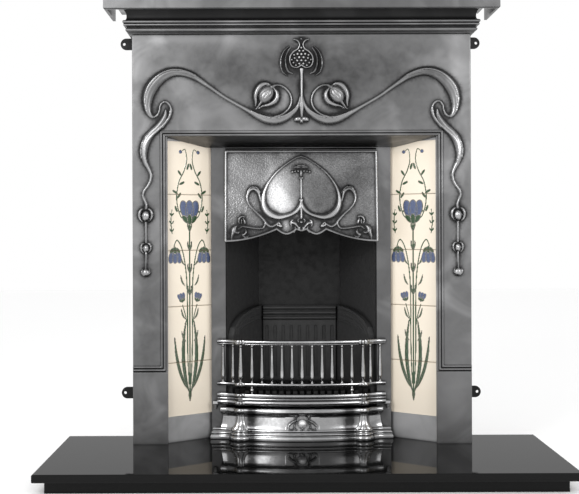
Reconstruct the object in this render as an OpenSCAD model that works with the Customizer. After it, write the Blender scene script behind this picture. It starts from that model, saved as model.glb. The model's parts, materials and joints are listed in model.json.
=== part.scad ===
// Cast iron combination fireplace on a stone hearth: splayed tile cheeks, a canopy, a firebox and a grate.
// X runs to the right, Y from the front face of the surround (Y = 0) back to the wall, Z up from the floor.
// Heights of the ironwork are counted from the top of the hearth, and up() lifts them there.

/* [Hearth] */
// Width of the stone slab
hearth_w = 1305; // [1200:5:1500]
// How far the slab runs in front of the surround
hearth_front = 388; // [320:2:500]
// Thickness of the slab
slab_t = 20; // [15:1:40]
// Height of the slips under the slab
slip_h = 30; // [20:1:60]
// Thickness of the slips
slip_t = 20; // [12:1:30]
// How far the slips stand back from the edge of the slab
slip_inset = 26; // [10:1:50]

/* [Surround] */
// Width of each leg of the surround
leg_w = 94; // [84:1:130]
// Height of the frieze above the opening
frieze_h = 352.5; // [300:0.5:420]
// Depth from the front face to the wall
body_d = 126; // [122:1:160]
// Thickness of the cast plates
plate_t = 8; // [7:0.5:9]
// Width of the opening in the surround
opening_w = 726; // [716:2:750]
// Radius of each of the two beads round the opening
bead_r = 4; // [2:0.5:5]
// Height of the plain plinths of the legs
plinth_h = 195; // [120:1:240]
// How far the plinths stand proud of the legs
plinth_out = 3; // [1:0.5:4]
// How far the bed moulding stands out under the shelf
moulding_out = 20; // [14:1:26]
// Height of the bed moulding
moulding_h = 78; // [70:1:90]

/* [Shelf] */
// How far the shelf stands out past each side of the surround
shelf_over = 70; // [60:1:120]
// How far the shelf stands out in front of the surround
shelf_out = 54; // [50:1:80]
// Depth of the edge of the shelf
shelf_edge = 50; // [44:1:60]
// Thickness of the plate and rim of the shelf
shelf_t = 10; // [8:0.5:12]
// Height of the bosses that the shelf stands on
boss_h = 14; // [10:1:20]

/* [Tiles] */
// Side of a square tile
tile_size = 152.4; // [146:0.2:154]
// Thickness of a tile
tile_t = 10; // [8:0.5:12]
// Tiles in each cheek
tile_count = 5; // [5:1:5]
// Joint between two tiles
tile_joint = 0.8; // [0.5:0.1:1.2]
// Angle between the cheeks and the front face
splay = 38.3; // [37:0.1:39]
// Height of the lowest tile edge that shows
tile_sill = 69.5; // [60:0.5:80]

/* [Fire frame and canopy] */
// Width of each jamb of the fire frame
jamb_w = 38.9; // [36:0.1:42]
// Fall of the head panel from the opening of the surround to the fire opening
head_fall = 25.5; // [20:0.5:32]
// Height of the canopy from its top to its lower corners
canopy_h = 253; // [220:1:280]
// How far the canopy leans out at its foot
canopy_lean = 35; // [20:1:38]
// Thickness of the canopy
canopy_t = 6; // [5:0.5:7]

/* [Firebox] */
// Depth of the firebox behind the fire frame
fire_depth = 208; // [190:1:230]
// How far each cheek of the firebox closes in towards the back
fire_taper = 85; // [60:1:90]
// Thickness of the fireback
fireback_t = 10; // [8:0.5:12]
// Thickness of the renewable lining plates
lining_t = 12; // [10:0.5:14]
// Height of the lining at the back
lining_back_h = 354; // [330:1:380]
// Height of the lining at the front of the cheeks
lining_front_h = 283; // [265:1:290]
// Number of flutes in the back lining
flutes = 9; // [5:1:9]

/* [Grate] */
// How far the corner posts of the grate front stand in from the jambs
corner_in = 42; // [36:1:50]
// Distance from the front face of the surround to the middle of the front rail, on the centre line
rail_y = 37; // [34:1:40]
// How far the front rails bow out between the corner posts
bow = 22; // [18:1:25]
// How far the rails run past the edges of the fire opening
rail_over = 23; // [20:1:25]
// Gap between the ash cover and the lowest rail
rail_gap = 6.7; // [4:0.1:10]
// Gap between the lowest and the middle rail
slot_h = 18.2; // [16:0.2:24]
// Height of the balusters
baluster_h = 104.5; // [80:0.5:130]
// Balusters along the bowed front
balusters = 11; // [7:2:13]
// Thickness of the bottom grate
grate_t = 16; // [12:1:18]
// Width of a bar of the bottom grate
bar_w = 11; // [8:0.5:13]
// Spacing of the bars of the bottom grate
bar_pitch = 18.8; // [17:0.2:22]

/* [Ash pit] */
// Height of the ash cover
cover_h = 88; // [80:1:90]
// Height of the stepped base of the ash cover
base_h = 31; // [26:1:36]
// Radius of the knob of the ash cover
knob_r = 11; // [9:0.5:14]
// Height of the ash pan
pan_h = 60; // [40:1:66]

/* [Throat] */
// Length of the damper flap from its hinge to its front edge
flap_l = 128; // [110:1:132]
// Radius of the hinge rod
rod_r = 4; // [3:0.5:5]
// Height of the flue collar
collar_h = 40; // [30:1:60]

/* [Fixings] */
// Radius of the bolts
bolt_r = 4; // [3:0.5:4]
// Radius of the screws of the tile clamps
screw_r = 2.5; // [2:0.25:3]
// Radius of the holes in the wall lugs
lug_hole_r = 4; // [3:0.5:5]
// Height of a wall lug
lug_h = 32; // [26:1:40]
// Height of the lower pair of wall lugs
lug_low_z = 122; // [100:1:160]
// How far the upper pair of wall lugs lies below the top flange
lug_drop = 83.5; // [60:0.5:120]
// How far the holes of the lugs stand out from the surround
lug_hole_out = 36; // [30:1:40]

/* [Hidden] */
iron = "#565759";
sooty = "#2c2c2d";
bright = "#a5a6a8";
steel = "#7d7f82";
stone = "#1b1b1d";
cream = "#ebe0cc";

fit = 0.3;            // gap between pieces that lift apart
running = 0.05;       // gap of a pin or bolt in its hole
proud = 1;            // how far a cut runs past the face that it opens

hearth_h = slab_t + slip_h;
body_w = opening_w + 2 * leg_w;
half_w = body_w / 2;
shelf_w = body_w + 2 * shelf_over;
reach = 2 * body_w;   // longer than any piece, for cuts

// Splayed tile cheeks: the frame runs from behind the surround in to behind the fire frame
cheek_wall = 8;
cheek_lip = 4;
lip_t = 3;
tile_gap = 0.5;
pocket_l = tile_size + 2 * tile_gap;
cheek_l = pocket_l + 2 * cheek_wall;
cheek_t = lip_t + tile_t;
pocket_h = tile_count * tile_size + (tile_count - 1) * tile_joint + 2 * tile_gap;
pocket_z = tile_sill - 2 * cheek_lip;
cheek_h = pocket_z + pocket_h + 10;
opening_h = pocket_z + pocket_h + 1.8;
body_h = opening_h + frieze_h;
lug_rise = body_h - lug_drop - lug_low_z;
cheek_x = opening_w / 2 + (cheek_wall + cheek_lip) * cos(splay);
cheek_flange_w = 40;
flange_t = 6;
clamp_t = 3;
clamp_h = 14;

// Fire frame: its outer edges meet the tiles, and its plate stands a little in front of them
inner_s = cheek_l - cheek_wall - cheek_lip;
jamb_x = cheek_x - inner_s * cos(splay);
jamb_back = plate_t + inner_s * sin(splay) - 3.5;
jamb_front = jamb_back - plate_t;
jamb_h = opening_h + 8.5;
fire_w = 2 * (jamb_x - jamb_w);
fire_h = opening_h - head_fall;
head_z = fire_h + 2;
head_t = 6;
head_rise = 26;

// Firebox plan: the inner half width at depth y, drawn out by off
fb_front_x = fire_w / 2 - 5;
fb_y = jamb_back + fire_depth;
fb_slope = fire_taper / fire_depth;
back_w = 2 * (fb_front_x - fire_taper);
fireback_h = fire_h + 8;
fb_angle = atan(fb_slope);
fb_flange_x = jamb_x - 13;
fb_bolt_x = jamb_x - 23;
ledge_w = lining_t + 16;
ledge_t = 10;
moulding_band = 44;
seat_gap = 6;         // between the lining and the bottom grate
function fb_x(y, off) = fb_front_x - (y - jamb_back) * fb_slope + off / cos(fb_angle);

// Grate front: bowed rails with a cove at each end
rail_w = 14;
corner_x = fire_w / 2 - corner_in;
corner_y = rail_y + bow;
bow_r = (corner_x^2 + bow^2) / (2 * bow);
bow_y = rail_y + bow_r;
bow_half = asin(corner_x / bow_r);
function front_line(x) = bow_y - sqrt(bow_r^2 - x^2);
rail_end_x = fire_w / 2 + rail_over;
end_y = jamb_front - 9;
cove_x = rail_end_x;
cove_y = (end_y^2 - (cove_x - corner_x)^2 - corner_y^2) / (2 * (end_y - corner_y));
cove_r = end_y - cove_y;
cove_sweep = 90 - atan2(corner_y - cove_y, cove_x - corner_x);
low_rail_h = 34.6;
mid_rail_h = 9;
top_rail_h = 13.5;
low_rail_z = cover_h + rail_gap;
mid_rail_z = low_rail_z + low_rail_h + slot_h;
top_rail_z = mid_rail_z + mid_rail_h + baluster_h;
ledge_z = low_rail_z + 23.3;
corner_gap = 31;
baluster_pitch = 2 * (corner_x - corner_gap) / (balusters - 1);
side_balusters = [0.22 * cove_sweep, 0.63 * cove_sweep];
grate_front_gap = 11.5;  // between the middle line of the rails and the bottom grate
grate_corner_in = 24;
boss_r = 11.5;
boss_over = 0.6;
pin_x = rail_end_x + 7;
pin_y = end_y + 2;
eye_h = 10.4;
tab_h = 9;
eye_z = low_rail_z - fit - eye_h;
eye_r = 6.5;

// Ash cover: plans drawn out from the middle line of the rails
cover_body = 3;
cover_lip = 11;
cover_base = 17;
cover_wall = 8;
cover_end_x = rail_end_x - 8;
base_end_x = rail_end_x + 19;
lip_h = 17;
lip_r = 18;
tread = 4;
step_low = base_h - 17;
step_mid = base_h - 9;
plinth_r = 30;
end_plinth_w = 34;
pilaster_y = corner_y + 1;
knob_z = base_h + 18;
collar_out = 4;
pit_t = 6;

// Throat and damper
throat_t = 8;
rod_in = 29;
rod_y = fb_y - rod_in;
flap_w = back_w - 6;
rod_z = fireback_h + throat_t + 8.5;
hole_l = flap_l - 7.5;
collar_t = 6;
collar_front = rod_y - flap_l - 4;
collar_back = rod_y + 9.5;
collar_x = flap_w / 2 + 4;
rim_back = rod_y - 6;
flap_t = 5;

// Canopy hangers
pin_r = 3;
canopy_top = fire_h - 6;
hanger_drop = 48;
hanger_y = jamb_back + 10;
hanger_z = canopy_top - hanger_drop;
hanger_x = fb_front_x - 15;
ear_t = 6;

// ---- helpers ----

// Lifts the ironwork onto the hearth
module up() {
    translate([0, 0, hearth_h]) children();
}

// Draws its children on the right, or mirrored on the left
module side(s) {
    mirror([s < 0 ? 1 : 0, 0, 0]) children();
}

// Extrudes a shape of Y and Z along X, centred
module along_x(l) {
    translate([-l / 2, 0, 0]) rotate([90, 0, 90]) linear_extrude(l) children();
}

// Extrudes a shape of X and Z from y0 back to y1
module along_y(y0, y1) {
    translate([0, y1, 0]) rotate([90, 0, 0]) linear_extrude(y1 - y0) children();
}

function arc(cx, cy, r, a0, a1, n = 6) =
    [for (i = [0:n]) [cx + r * cos(a0 + (a1 - a0) * i / n), cy + r * sin(a0 + (a1 - a0) * i / n)]];

function turned(v) = [for (i = [len(v) - 1:-1:0]) v[i]];

// Block whose front and two ends carry the same edge profile, given as [out, z] from the bottom up
module edged_block(w, y0, y1, edge) {
    low = edge[0][1];
    high = edge[len(edge) - 1][1];
    right = [for (p = edge) [w / 2 + p[0], p[1]]];
    left = [for (p = turned(edge)) [-w / 2 - p[0], p[1]]];
    intersection() {
        along_x(2 * w) polygon(concat([for (p = edge) [y0 - p[0], p[1]]], [[y1, high], [y1, low]]));
        along_y(y0 - w, y1) polygon(concat(right, left));
    }
}

module rounded_bar(w, h, r) {
    square([w - 2 * r, h], center = true);
    square([w, h - 2 * r], center = true);
    for (i = [-1, 1], j = [-1, 1]) translate([i * (w / 2 - r), j * (h / 2 - r)]) circle(r, $fn = 24);
}

// Bolt along +Z: hexagon head above z = 0 and shank below it
module bolt(r, l) {
    cylinder(r = 1.85 * r, h = 1.5 * r, $fn = 6);
    translate([0, 0, -l]) cylinder(r = r, h = l + 1, $fn = 24);
}

// Bolt whose head stands on the face at y and points back
module back_bolt(x, y, z, l, r = bolt_r) {
    translate([x, y, z]) rotate([-90, 0, 0]) bolt(r, l);
}

module back_hole(x, y, z, l, r = bolt_r) {
    translate([x, y - l - running, z]) rotate([-90, 0, 0]) cylinder(r = r + running, h = l + proud, $fn = 24);
}

// ---- hearth ----

module hearth_slab() {
    ease = 2;
    edge = [[-ease, slip_h], [0, slip_h + ease], [0, hearth_h - ease], [-ease, hearth_h]];
    color(stone) edged_block(hearth_w, -hearth_front, body_d, edge);
}

module hearth_front_slip() {
    w = hearth_w - 2 * slip_inset;
    color(stone) translate([-w / 2, -hearth_front + slip_inset, 0]) cube([w, slip_t, slip_h]);
}

module hearth_slip(s) {
    y0 = -hearth_front + slip_inset + slip_t;
    color(stone) side(s) translate([hearth_w / 2 - slip_inset - slip_t, y0, 0])
        cube([slip_t, body_d - y0, slip_h]);
}

module hearth_bed() {
    w = hearth_w - 2 * (slip_inset + slip_t);
    y0 = -hearth_front + slip_inset + slip_t;
    color("#8c8a86") translate([-w / 2, y0, 0]) cube([w, body_d - y0, slip_h]);
}

// ---- surround and shelf ----

shelf_bolt_in = 157;
shelf_bolt_x = half_w - shelf_bolt_in;
shelf_bolt_y = 70;
bolt_foot = 60;
frame_bolt_z = [for (k = [0:3]) bolt_foot + k * (cheek_h - 2 * bolt_foot) / 3];
cheek_bolt_x = cheek_x + cheek_flange_w / 2 + 4;
head_bolt_in = 163;
head_bolt_x = opening_w / 2 - head_bolt_in;
head_bolt_z = opening_h + head_rise - 10;
blind = 6;            // depth of a tapped hole that doesn't come through the face
bite = 5.5;           // length of a bolt in such a hole

module bead_line(l) {
    along_x(l) for (i = [-1, 1]) translate([0, i * bead_r]) circle(bead_r, $fn = 24);
}

module bead_post(z0, z1) {
    for (i = [-1, 1]) translate([i * bead_r, 0, z0]) cylinder(r = bead_r, h = z1 - z0, $fn = 24);
}

module bed_moulding() {
    z = body_h - moulding_h;
    out = moulding_out;
    foot = [[0, z - 1], [3, z], [4, z + 3]];
    ovolo = arc(out - 14, z + 14, 10, -80, 0, 4);
    crown = [[out, z + 18], [out, z + 36], [out - 3, z + 38], [out - 3, body_h]];
    edged_block(body_w, 0, plate_t, concat(foot, ovolo, crown));
    for (s = [-1, 1]) intersection() {
        edged_block(body_w, 0, body_d, concat(foot, ovolo, crown));
        side(s) translate([half_w - plate_t, -out, z]) cube([out + plate_t, body_d + out, moulding_h]);
    }
}

module top_flange() {
    out = shelf_out - shelf_t - 1;
    difference() {
        translate([-half_w - out, -out, body_h]) cube([body_w + 2 * out, body_d + out, plate_t]);
        for (s = [-1, 1]) translate([s * shelf_bolt_x, shelf_bolt_y, body_h - proud])
            cylinder(r = bolt_r + running, h = plate_t + 2 * proud, $fn = 24);
    }
}

module surround() {
    bead_x = opening_w / 2 + 2 * bead_r + 4;
    leg_x = (bead_x + half_w) / 2;
    color(iron) up() difference() {
        union() {
            along_y(0, plate_t) difference() {
                translate([-half_w, 0]) square([body_w, body_h]);
                translate([-opening_w / 2, -proud]) square([opening_w, opening_h + proud]);
            }
            for (s = [-1, 1]) side(s) translate([half_w - plate_t, 0, 0]) cube([plate_t, body_d, body_h]);
            bed_moulding();
            top_flange();
            for (s = [-1, 1]) side(s) {
                translate([bead_x, 0, 0]) bead_post(plinth_h, opening_h + 2 * bead_r + 2);
                translate([leg_x, 0, plinth_h + 2 * bead_r]) bead_line(half_w - bead_x);
                translate([opening_w / 2, -plinth_out, 0])
                    cube([half_w - opening_w / 2, plinth_out + 1, plinth_h]);
            }
            translate([0, 0, opening_h + 2 * bead_r]) bead_line(2 * bead_x);
        }
        for (s = [-1, 1]) {
            for (z = frame_bolt_z) back_hole(s * cheek_bolt_x, plate_t, z, blind);
            back_hole(s * head_bolt_x, plate_t, head_bolt_z, blind);
            for (z = [lug_low_z, lug_low_z + lug_rise]) side(s) translate([half_w - plate_t - proud, 0, z]) {
                translate([0, body_d - lug_t - fit, -lug_h / 2 - fit])
                    cube([plate_t + moulding_out + 2 * proud, lug_t + fit + proud, lug_h + 2 * fit]);
                translate([0, lug_bolt_y, 0]) rotate([0, 90, 0])
                    cylinder(r = bolt_r + running, h = blind + proud, $fn = 24);
            }
        }
    }
}

module mantel_shelf() {
    top = body_h + plate_t + boss_h + shelf_t;
    low = top - shelf_edge;
    edge = concat([[-3, low], [0, low + 3]], arc(-8, top - 8, 8, 0, 90, 4));
    color(iron) up() difference() {
        union() {
            difference() {
                edged_block(shelf_w, -shelf_out, body_d, edge);
                translate([-shelf_w / 2 + shelf_t, -shelf_out + shelf_t, low - proud])
                    cube([shelf_w - 2 * shelf_t, body_d + shelf_out, shelf_edge - shelf_t + proud]);
            }
            for (s = [-1, 1], y = [shelf_bolt_y, 0]) translate([s * shelf_bolt_x, y, top - shelf_t - boss_h])
                cylinder(r = 12, h = boss_h + 1, $fn = 32);
        }
        for (s = [-1, 1]) translate([s * shelf_bolt_x, shelf_bolt_y, body_h + plate_t - proud])
            cylinder(r = bolt_r + running, h = boss_h + proud, $fn = 24);
    }
}

module shelf_bolts() {
    color(steel) up() for (s = [-1, 1]) translate([s * shelf_bolt_x, shelf_bolt_y, body_h])
        mirror([0, 0, 1]) bolt(bolt_r, plate_t + boss_h - 1);
}

// ---- wall lugs ----

lug_t = 6;
lug_leg = 40;
lug_bolt_in = 26;
lug_bolt_y = body_d - lug_bolt_in;

// Angle bracket: one leg inside the side of the surround, one ear out through it along the wall
module lug(s, z) {
    tip = lug_hole_out + 10;
    color(sooty) up() side(s) translate([half_w, 0, z]) difference() {
        union() {
            translate([-plate_t - lug_t, body_d - lug_leg, -lug_h / 2]) cube([lug_t, lug_leg, lug_h]);
            along_y(body_d - lug_t, body_d) {
                translate([-plate_t - lug_t, -lug_h / 2])
                    square([tip - lug_h / 2 + plate_t + lug_t, lug_h]);
                translate([tip - lug_h / 2, 0]) circle(lug_h / 2, $fn = 48);
            }
        }
        translate([lug_hole_out, body_d - lug_t - proud, 0]) rotate([-90, 0, 0])
            cylinder(r = lug_hole_r, h = lug_t + 2 * proud, $fn = 32);
        translate([-plate_t - lug_t - proud, lug_bolt_y, 0]) rotate([0, 90, 0])
            cylinder(r = bolt_r + running, h = lug_t + 2 * proud, $fn = 24);
    }
}

module lug_bolts() {
    color(steel) up() for (s = [-1, 1], z = [lug_low_z, lug_low_z + lug_rise])
        side(s) translate([half_w - plate_t - lug_t, lug_bolt_y, z]) rotate([0, -90, 0])
            bolt(bolt_r, lug_t + bite);
}

// ---- tile cheeks ----

// Frame of a cheek: x runs in along the face, y towards the viewer
module cheek(s) {
    up() side(s) translate([cheek_x, plate_t, 0]) rotate([0, 0, 180 - splay]) children();
}

module tile_frame(s) {
    color(iron) difference() {
        union() {
            cheek(s) difference() {
                translate([0, -cheek_t, 0]) cube([cheek_l, cheek_t, cheek_h]);
                translate([cheek_wall, -cheek_t - proud, pocket_z])
                    cube([pocket_l, tile_t + proud, pocket_h]);
                translate([cheek_wall + cheek_lip, -cheek_t, tile_sill])
                    cube([pocket_l - 2 * cheek_lip, cheek_t + proud, pocket_h - 4 * cheek_lip]);
                for (k = [0:tile_count], x = [cheek_wall / 2, cheek_l - cheek_wall / 2])
                    translate([x, -cheek_t - proud, clamp_z(k)]) rotate([-90, 0, 0])
                        cylinder(r = screw_r + running, h = 8 + proud, $fn = 24);
            }
            up() side(s) {
                translate([cheek_x, plate_t, 0]) cube([cheek_flange_w, flange_t, cheek_h]);
                translate([fb_front_x + 12, jamb_back, 0])
                    cube([jamb_x - fb_front_x - 12, flange_t, cheek_h]);
            }
        }
        up() side(s) for (z = frame_bolt_z) {
            back_hole(cheek_bolt_x, plate_t + flange_t, z, flange_t + proud);
            back_hole(fb_bolt_x, jamb_back + flange_t, z, flange_t + proud);
        }
    }
}

function clamp_z(k) = pocket_z + tile_gap + k * (tile_size + tile_joint)
    + (k == 0 ? cheek_lip : k == tile_count ? -cheek_lip : 0);

module tile(s, k) {
    z = pocket_z + tile_gap + (k - 1) * (tile_size + tile_joint);
    color(cream) cheek(s) translate([cheek_wall + tile_gap, -cheek_t, z])
        cube([tile_size, tile_t, tile_size]);
}

module tile_clamps(s) {
    color(steel) cheek(s) for (k = [0:tile_count]) difference() {
        translate([1, -cheek_t - clamp_t, clamp_z(k) - clamp_h / 2]) cube([cheek_l - 2, clamp_t, clamp_h]);
        for (x = [cheek_wall / 2, cheek_l - cheek_wall / 2])
            translate([x, -cheek_t - clamp_t - proud, clamp_z(k)]) rotate([-90, 0, 0])
                cylinder(r = screw_r + running, h = clamp_t + 2 * proud, $fn = 24);
    }
}

module clamp_screws() {
    head_h = 1.6;
    color(steel) for (s = [-1, 1]) cheek(s) for (k = [0:tile_count])
        for (x = [cheek_wall / 2, cheek_l - cheek_wall / 2])
            translate([x, -cheek_t - clamp_t, clamp_z(k)]) rotate([90, 0, 0]) {
                cylinder(r = 1.6 * screw_r, h = head_h, $fn = 24);
                translate([0, 0, -clamp_t - 7]) cylinder(r = screw_r, h = clamp_t + 8, $fn = 24);
            }
}

module frame_bolts() {
    color(steel) up() for (s = [-1, 1], z = frame_bolt_z)
        back_bolt(s * cheek_bolt_x, plate_t + flange_t, z, flange_t + bite);
}

// ---- head panel and fire frame ----

head_pin_in = 99;
head_pin_x = jamb_x - head_pin_in;
head_pin_z = head_z + 23;
head_drop = 32;

module head_panel() {
    run = jamb_front - plate_t;
    in_x = run / tan(splay);
    rise = [[plate_t, opening_h], [jamb_front, head_z], [jamb_front, head_z + head_drop],
        [jamb_front - head_t, head_z + head_drop], [jamb_front - head_t, head_z + head_t + 2],
        [plate_t + head_t, opening_h + head_t - 1], [plate_t + head_t, opening_h + head_rise],
        [plate_t, opening_h + head_rise]];
    plan = [[-cheek_x + fit, plate_t], [cheek_x - fit, plate_t], [cheek_x - in_x - fit, jamb_front],
        [-cheek_x + in_x + fit, jamb_front]];
    color(iron) up() difference() {
        intersection() {
            along_x(body_w) polygon(rise);
            linear_extrude(body_h) polygon(plan);
        }
        for (s = [-1, 1]) {
            back_hole(s * head_bolt_x, plate_t + head_t, head_bolt_z, head_t + proud);
            back_hole(s * head_pin_x, jamb_front, head_pin_z, head_t + proud);
        }
    }
}

module head_bolts() {
    color(steel) up() for (s = [-1, 1]) {
        back_bolt(s * head_bolt_x, plate_t + head_t, head_bolt_z, head_t + bite);
        back_bolt(s * head_pin_x, jamb_back, head_pin_z, plate_t + head_t);
    }
}

module fire_frame() {
    color(iron) up() difference() {
        union() {
            along_y(jamb_front, jamb_back) difference() {
                translate([-jamb_x, 0]) square([2 * jamb_x, jamb_h]);
                translate([-fire_w / 2, -proud]) square([fire_w, fire_h + proud]);
            }
            for (s = [-1, 1]) translate([s * pin_x, pin_y, eye_z]) {
                cylinder(r = eye_r, h = low_rail_z - fit - eye_z, $fn = 32);
                translate([-eye_r, 0, 0]) cube([2 * eye_r, jamb_front - pin_y + 1, low_rail_z - fit - eye_z]);
            }
        }
        for (s = [-1, 1]) {
            translate([s * pin_x, pin_y, eye_z - proud])
                cylinder(r = bolt_r + fit, h = low_rail_z - eye_z + 2 * proud, $fn = 32);
            back_hole(s * head_pin_x, jamb_back, head_pin_z, plate_t + proud);
            for (z = frame_bolt_z) back_hole(s * fb_bolt_x, jamb_back, z, blind);
        }
    }
}

// ---- canopy ----

lean_a = atan(canopy_lean / canopy_h);
canopy_y = jamb_front - 14;
canopy_w = fire_w + 2;
cusp_x = 68;
cusp_rise = 32.5;

// Height of the wavy lower edge above the lower corners
function hem(x) = let (ax = abs(x), hw = canopy_w / 2)
    ax >= cusp_x ? cusp_rise * ((hw - ax) / (hw - cusp_x))^2
    : ax >= 13 ? cusp_rise - 13 * sin(180 * (cusp_x - ax) / (cusp_x - 13))
    : cusp_rise - 4 * cos(90 * ax / 13);

module canopy() {
    hw = canopy_w / 2;
    slant = canopy_h / cos(lean_a);
    lower = [for (x = [-hw:hw / 32:hw]) [x, hem(x) - slant]];
    back = jamb_front - fit;
    ear_low = 3.5;
    ear_h = 28;
    ear_front = canopy_y - (canopy_top - hanger_z + ear_low) * tan(lean_a) - 1;
    color(iron) up() difference() {
        union() {
            translate([0, canopy_y, canopy_top]) rotate([-lean_a, 0, 0]) rotate([90, 0, 0])
                linear_extrude(canopy_t) polygon(concat([[hw, 0], [-hw, 0]], lower));
            for (s = [-1, 1]) side(s) translate([hw - canopy_t / 2, 0, 0]) along_x(canopy_t)
                polygon([[canopy_y - canopy_t, canopy_top], [back, canopy_top], [back, canopy_top - canopy_h],
                    [canopy_y - canopy_t - canopy_lean, canopy_top - canopy_h]]);
            translate([-hw, canopy_y - canopy_t, canopy_top - canopy_t])
                cube([canopy_w, back - canopy_y + canopy_t, canopy_t]);
            for (s = [-1, 1]) translate([s * hanger_x, 0, 0]) along_x(ear_t) difference() {
                translate([ear_front, hanger_z - ear_low]) square([hanger_y + 7 - ear_front, ear_h]);
                translate([hanger_y, hanger_z]) circle(pin_r + fit, $fn = 32);
                translate([hanger_y - pin_r - fit, hanger_z - 10]) square([2 * (pin_r + fit), 10]);
            }
        }
        translate([-hw - proud, canopy_y - reach / 2, canopy_top]) cube([canopy_w + 2 * proud, reach, reach]);
    }
}

module canopy_pins() {
    color(steel) up() for (s = [-1, 1]) side(s) translate([hanger_x - ear_t, hanger_y, hanger_z])
        rotate([0, 90, 0]) cylinder(r = pin_r, h = fb_x(hanger_y, 8) - hanger_x + ear_t, $fn = 32);
}

// ---- firebox ----

// Three walls of the firebox in plan, from off_in to off_out outside its inner face
module fb_plan(off_in, off_out) {
    polygon([[fb_x(jamb_back, off_out), jamb_back], [fb_x(fb_y + off_out, off_out), fb_y + off_out],
        [-fb_x(fb_y + off_out, off_out), fb_y + off_out], [-fb_x(jamb_back, off_out), jamb_back],
        [-fb_x(jamb_back, off_in), jamb_back], [-fb_x(fb_y + off_in, off_in), fb_y + off_in],
        [fb_x(fb_y + off_in, off_in), fb_y + off_in], [fb_x(jamb_back, off_in), jamb_back]]);
}

module fireback() {
    color(sooty) up() difference() {
        union() {
            linear_extrude(fireback_h) fb_plan(0, fireback_t);
            translate([0, 0, ledge_z - ledge_t]) linear_extrude(ledge_t) fb_plan(-ledge_w, 1);
            for (s = [-1, 1]) side(s) translate([fb_front_x + 4, jamb_back + flange_t, 0])
                cube([fb_flange_x - fb_front_x - 4, flange_t, fireback_h]);
        }
        for (s = [-1, 1]) side(s) {
            for (z = frame_bolt_z) back_hole(fb_bolt_x, jamb_back + 2 * flange_t, z, flange_t + proud);
            translate([hanger_x, hanger_y, hanger_z]) rotate([0, 90, 0])
                cylinder(r = pin_r + running, h = fb_x(hanger_y, 8) - hanger_x + running, $fn = 32);
        }
    }
}

module fireback_bolts() {
    color(steel) up() for (s = [-1, 1], z = frame_bolt_z)
        back_bolt(s * fb_bolt_x, jamb_back + 2 * flange_t, z, 2 * flange_t + bite);
}

module lining_back() {
    hw = fb_x(fb_y, -lining_t) - fit;
    face = fb_y - lining_t;
    flute_margin = 48;
    flute_pitch = (back_w - flute_margin) / (flutes - 1);
    flute_r = 5;
    flute_top = lining_back_h - moulding_band - 14 - flute_r;
    color(sooty) up() difference() {
        union() {
            translate([-hw, face, ledge_z]) cube([2 * hw, lining_t, lining_back_h - ledge_z]);
            for (k = [0:2]) translate([0, face, lining_back_h - 7 - k * 15])
                along_x(2 * hw) circle(6, $fn = 32);
        }
        for (k = [0:flutes - 1]) translate([(k - (flutes - 1) / 2) * flute_pitch, face - proud, 0]) {
            translate([-flute_r, 0, ledge_z + grate_t + 10])
                cube([2 * flute_r, 4 + proud, flute_top - ledge_z - grate_t - 10]);
            translate([0, 0, flute_top]) rotate([-90, 0, 0]) cylinder(r = flute_r, h = 4 + proud, $fn = 32);
        }
    }
}

// Cheek lining: its top falls in a quarter arc from the back to the front, with a raised band along it
module lining_side(s) {
    l = fire_depth / cos(fb_angle) - 3;
    drop = lining_back_h - lining_front_h;
    function top(x) = lining_front_h + drop * sqrt(1 - (x / l)^2);
    steps = 20;
    crest = [for (i = [steps:-1:0]) [l * i / steps, top(l * i / steps)]];
    band_x = 22;
    band = [for (i = [steps:-1:0]) let (x = band_x + (l - band_x) * i / steps) [x, top(x)]];
    under = [for (p = turned(band)) [p[0], p[1] - moulding_band]];
    color(sooty) up() side(s) translate([fb_x(fb_y, 0), fb_y, 0]) rotate([0, 0, fb_angle - 90])
        rotate([90, 0, 0]) {
            linear_extrude(lining_t) polygon(concat([[0, ledge_z], [l, ledge_z]], crest));
            linear_extrude(lining_t + 4) polygon(concat(band, under));
        }
}

module pit_floor() {
    y0 = jamb_back;
    y1 = fb_y - fit;
    color(sooty) up() linear_extrude(pit_t) polygon([[fb_x(y0, -fit), y0], [fb_x(y1, -fit), y1],
        [-fb_x(y1, -fit), y1], [-fb_x(y0, -fit), y0]]);
}

// ---- throat and damper ----

module throat_plate() {
    z = fireback_h;
    y1 = fb_y + fireback_t;
    color(sooty) up() difference() {
        union() {
            translate([0, 0, z]) linear_extrude(throat_t) polygon([[fb_x(jamb_back, fireback_t), jamb_back],
                [fb_x(y1, fireback_t), y1], [-fb_x(y1, fireback_t), y1],
                [-fb_x(jamb_back, fireback_t), jamb_back]]);
            translate([-collar_x - collar_t, collar_front - collar_t, z])
                cube([2 * (collar_x + collar_t), collar_back - collar_front + 2 * collar_t,
                    throat_t + collar_h]);
        }
        translate([-collar_x, collar_front, z + throat_t])
            cube([2 * collar_x, collar_back - collar_front, collar_h + proud]);
        translate([-flap_w / 2 + 5, rod_y - hole_l, z - proud])
            cube([flap_w - 10, hole_l - (rod_y - rim_back), throat_t + 2 * proud]);
        translate([0, rod_y, rod_z]) along_x(2 * collar_x + 3 * collar_t) circle(rod_r + running, $fn = 32);
    }
}

module damper_flap() {
    z = fireback_h + throat_t + fit;
    tail_y = rod_y - 0.8 * flap_l;
    tail_w = 20;
    tail_t = 6;
    tail_h = 38;
    color(iron) up() difference() {
        union() {
            translate([-flap_w / 2, rod_y - flap_l, z]) cube([flap_w, flap_l, flap_t]);
            translate([0, rod_y, rod_z]) along_x(flap_w) circle(2 * rod_r, $fn = 48);
            translate([-tail_w / 2, tail_y, z - tail_h]) cube([tail_w, tail_t, tail_h + 1]);
        }
        translate([0, rod_y, rod_z]) along_x(flap_w + 2 * proud) circle(rod_r + running, $fn = 32);
        translate([0, tail_y - proud, z - tail_h + tail_w / 2]) rotate([-90, 0, 0])
            cylinder(r = 6, h = tail_t + 2 * proud, $fn = 32);
    }
}

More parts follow.
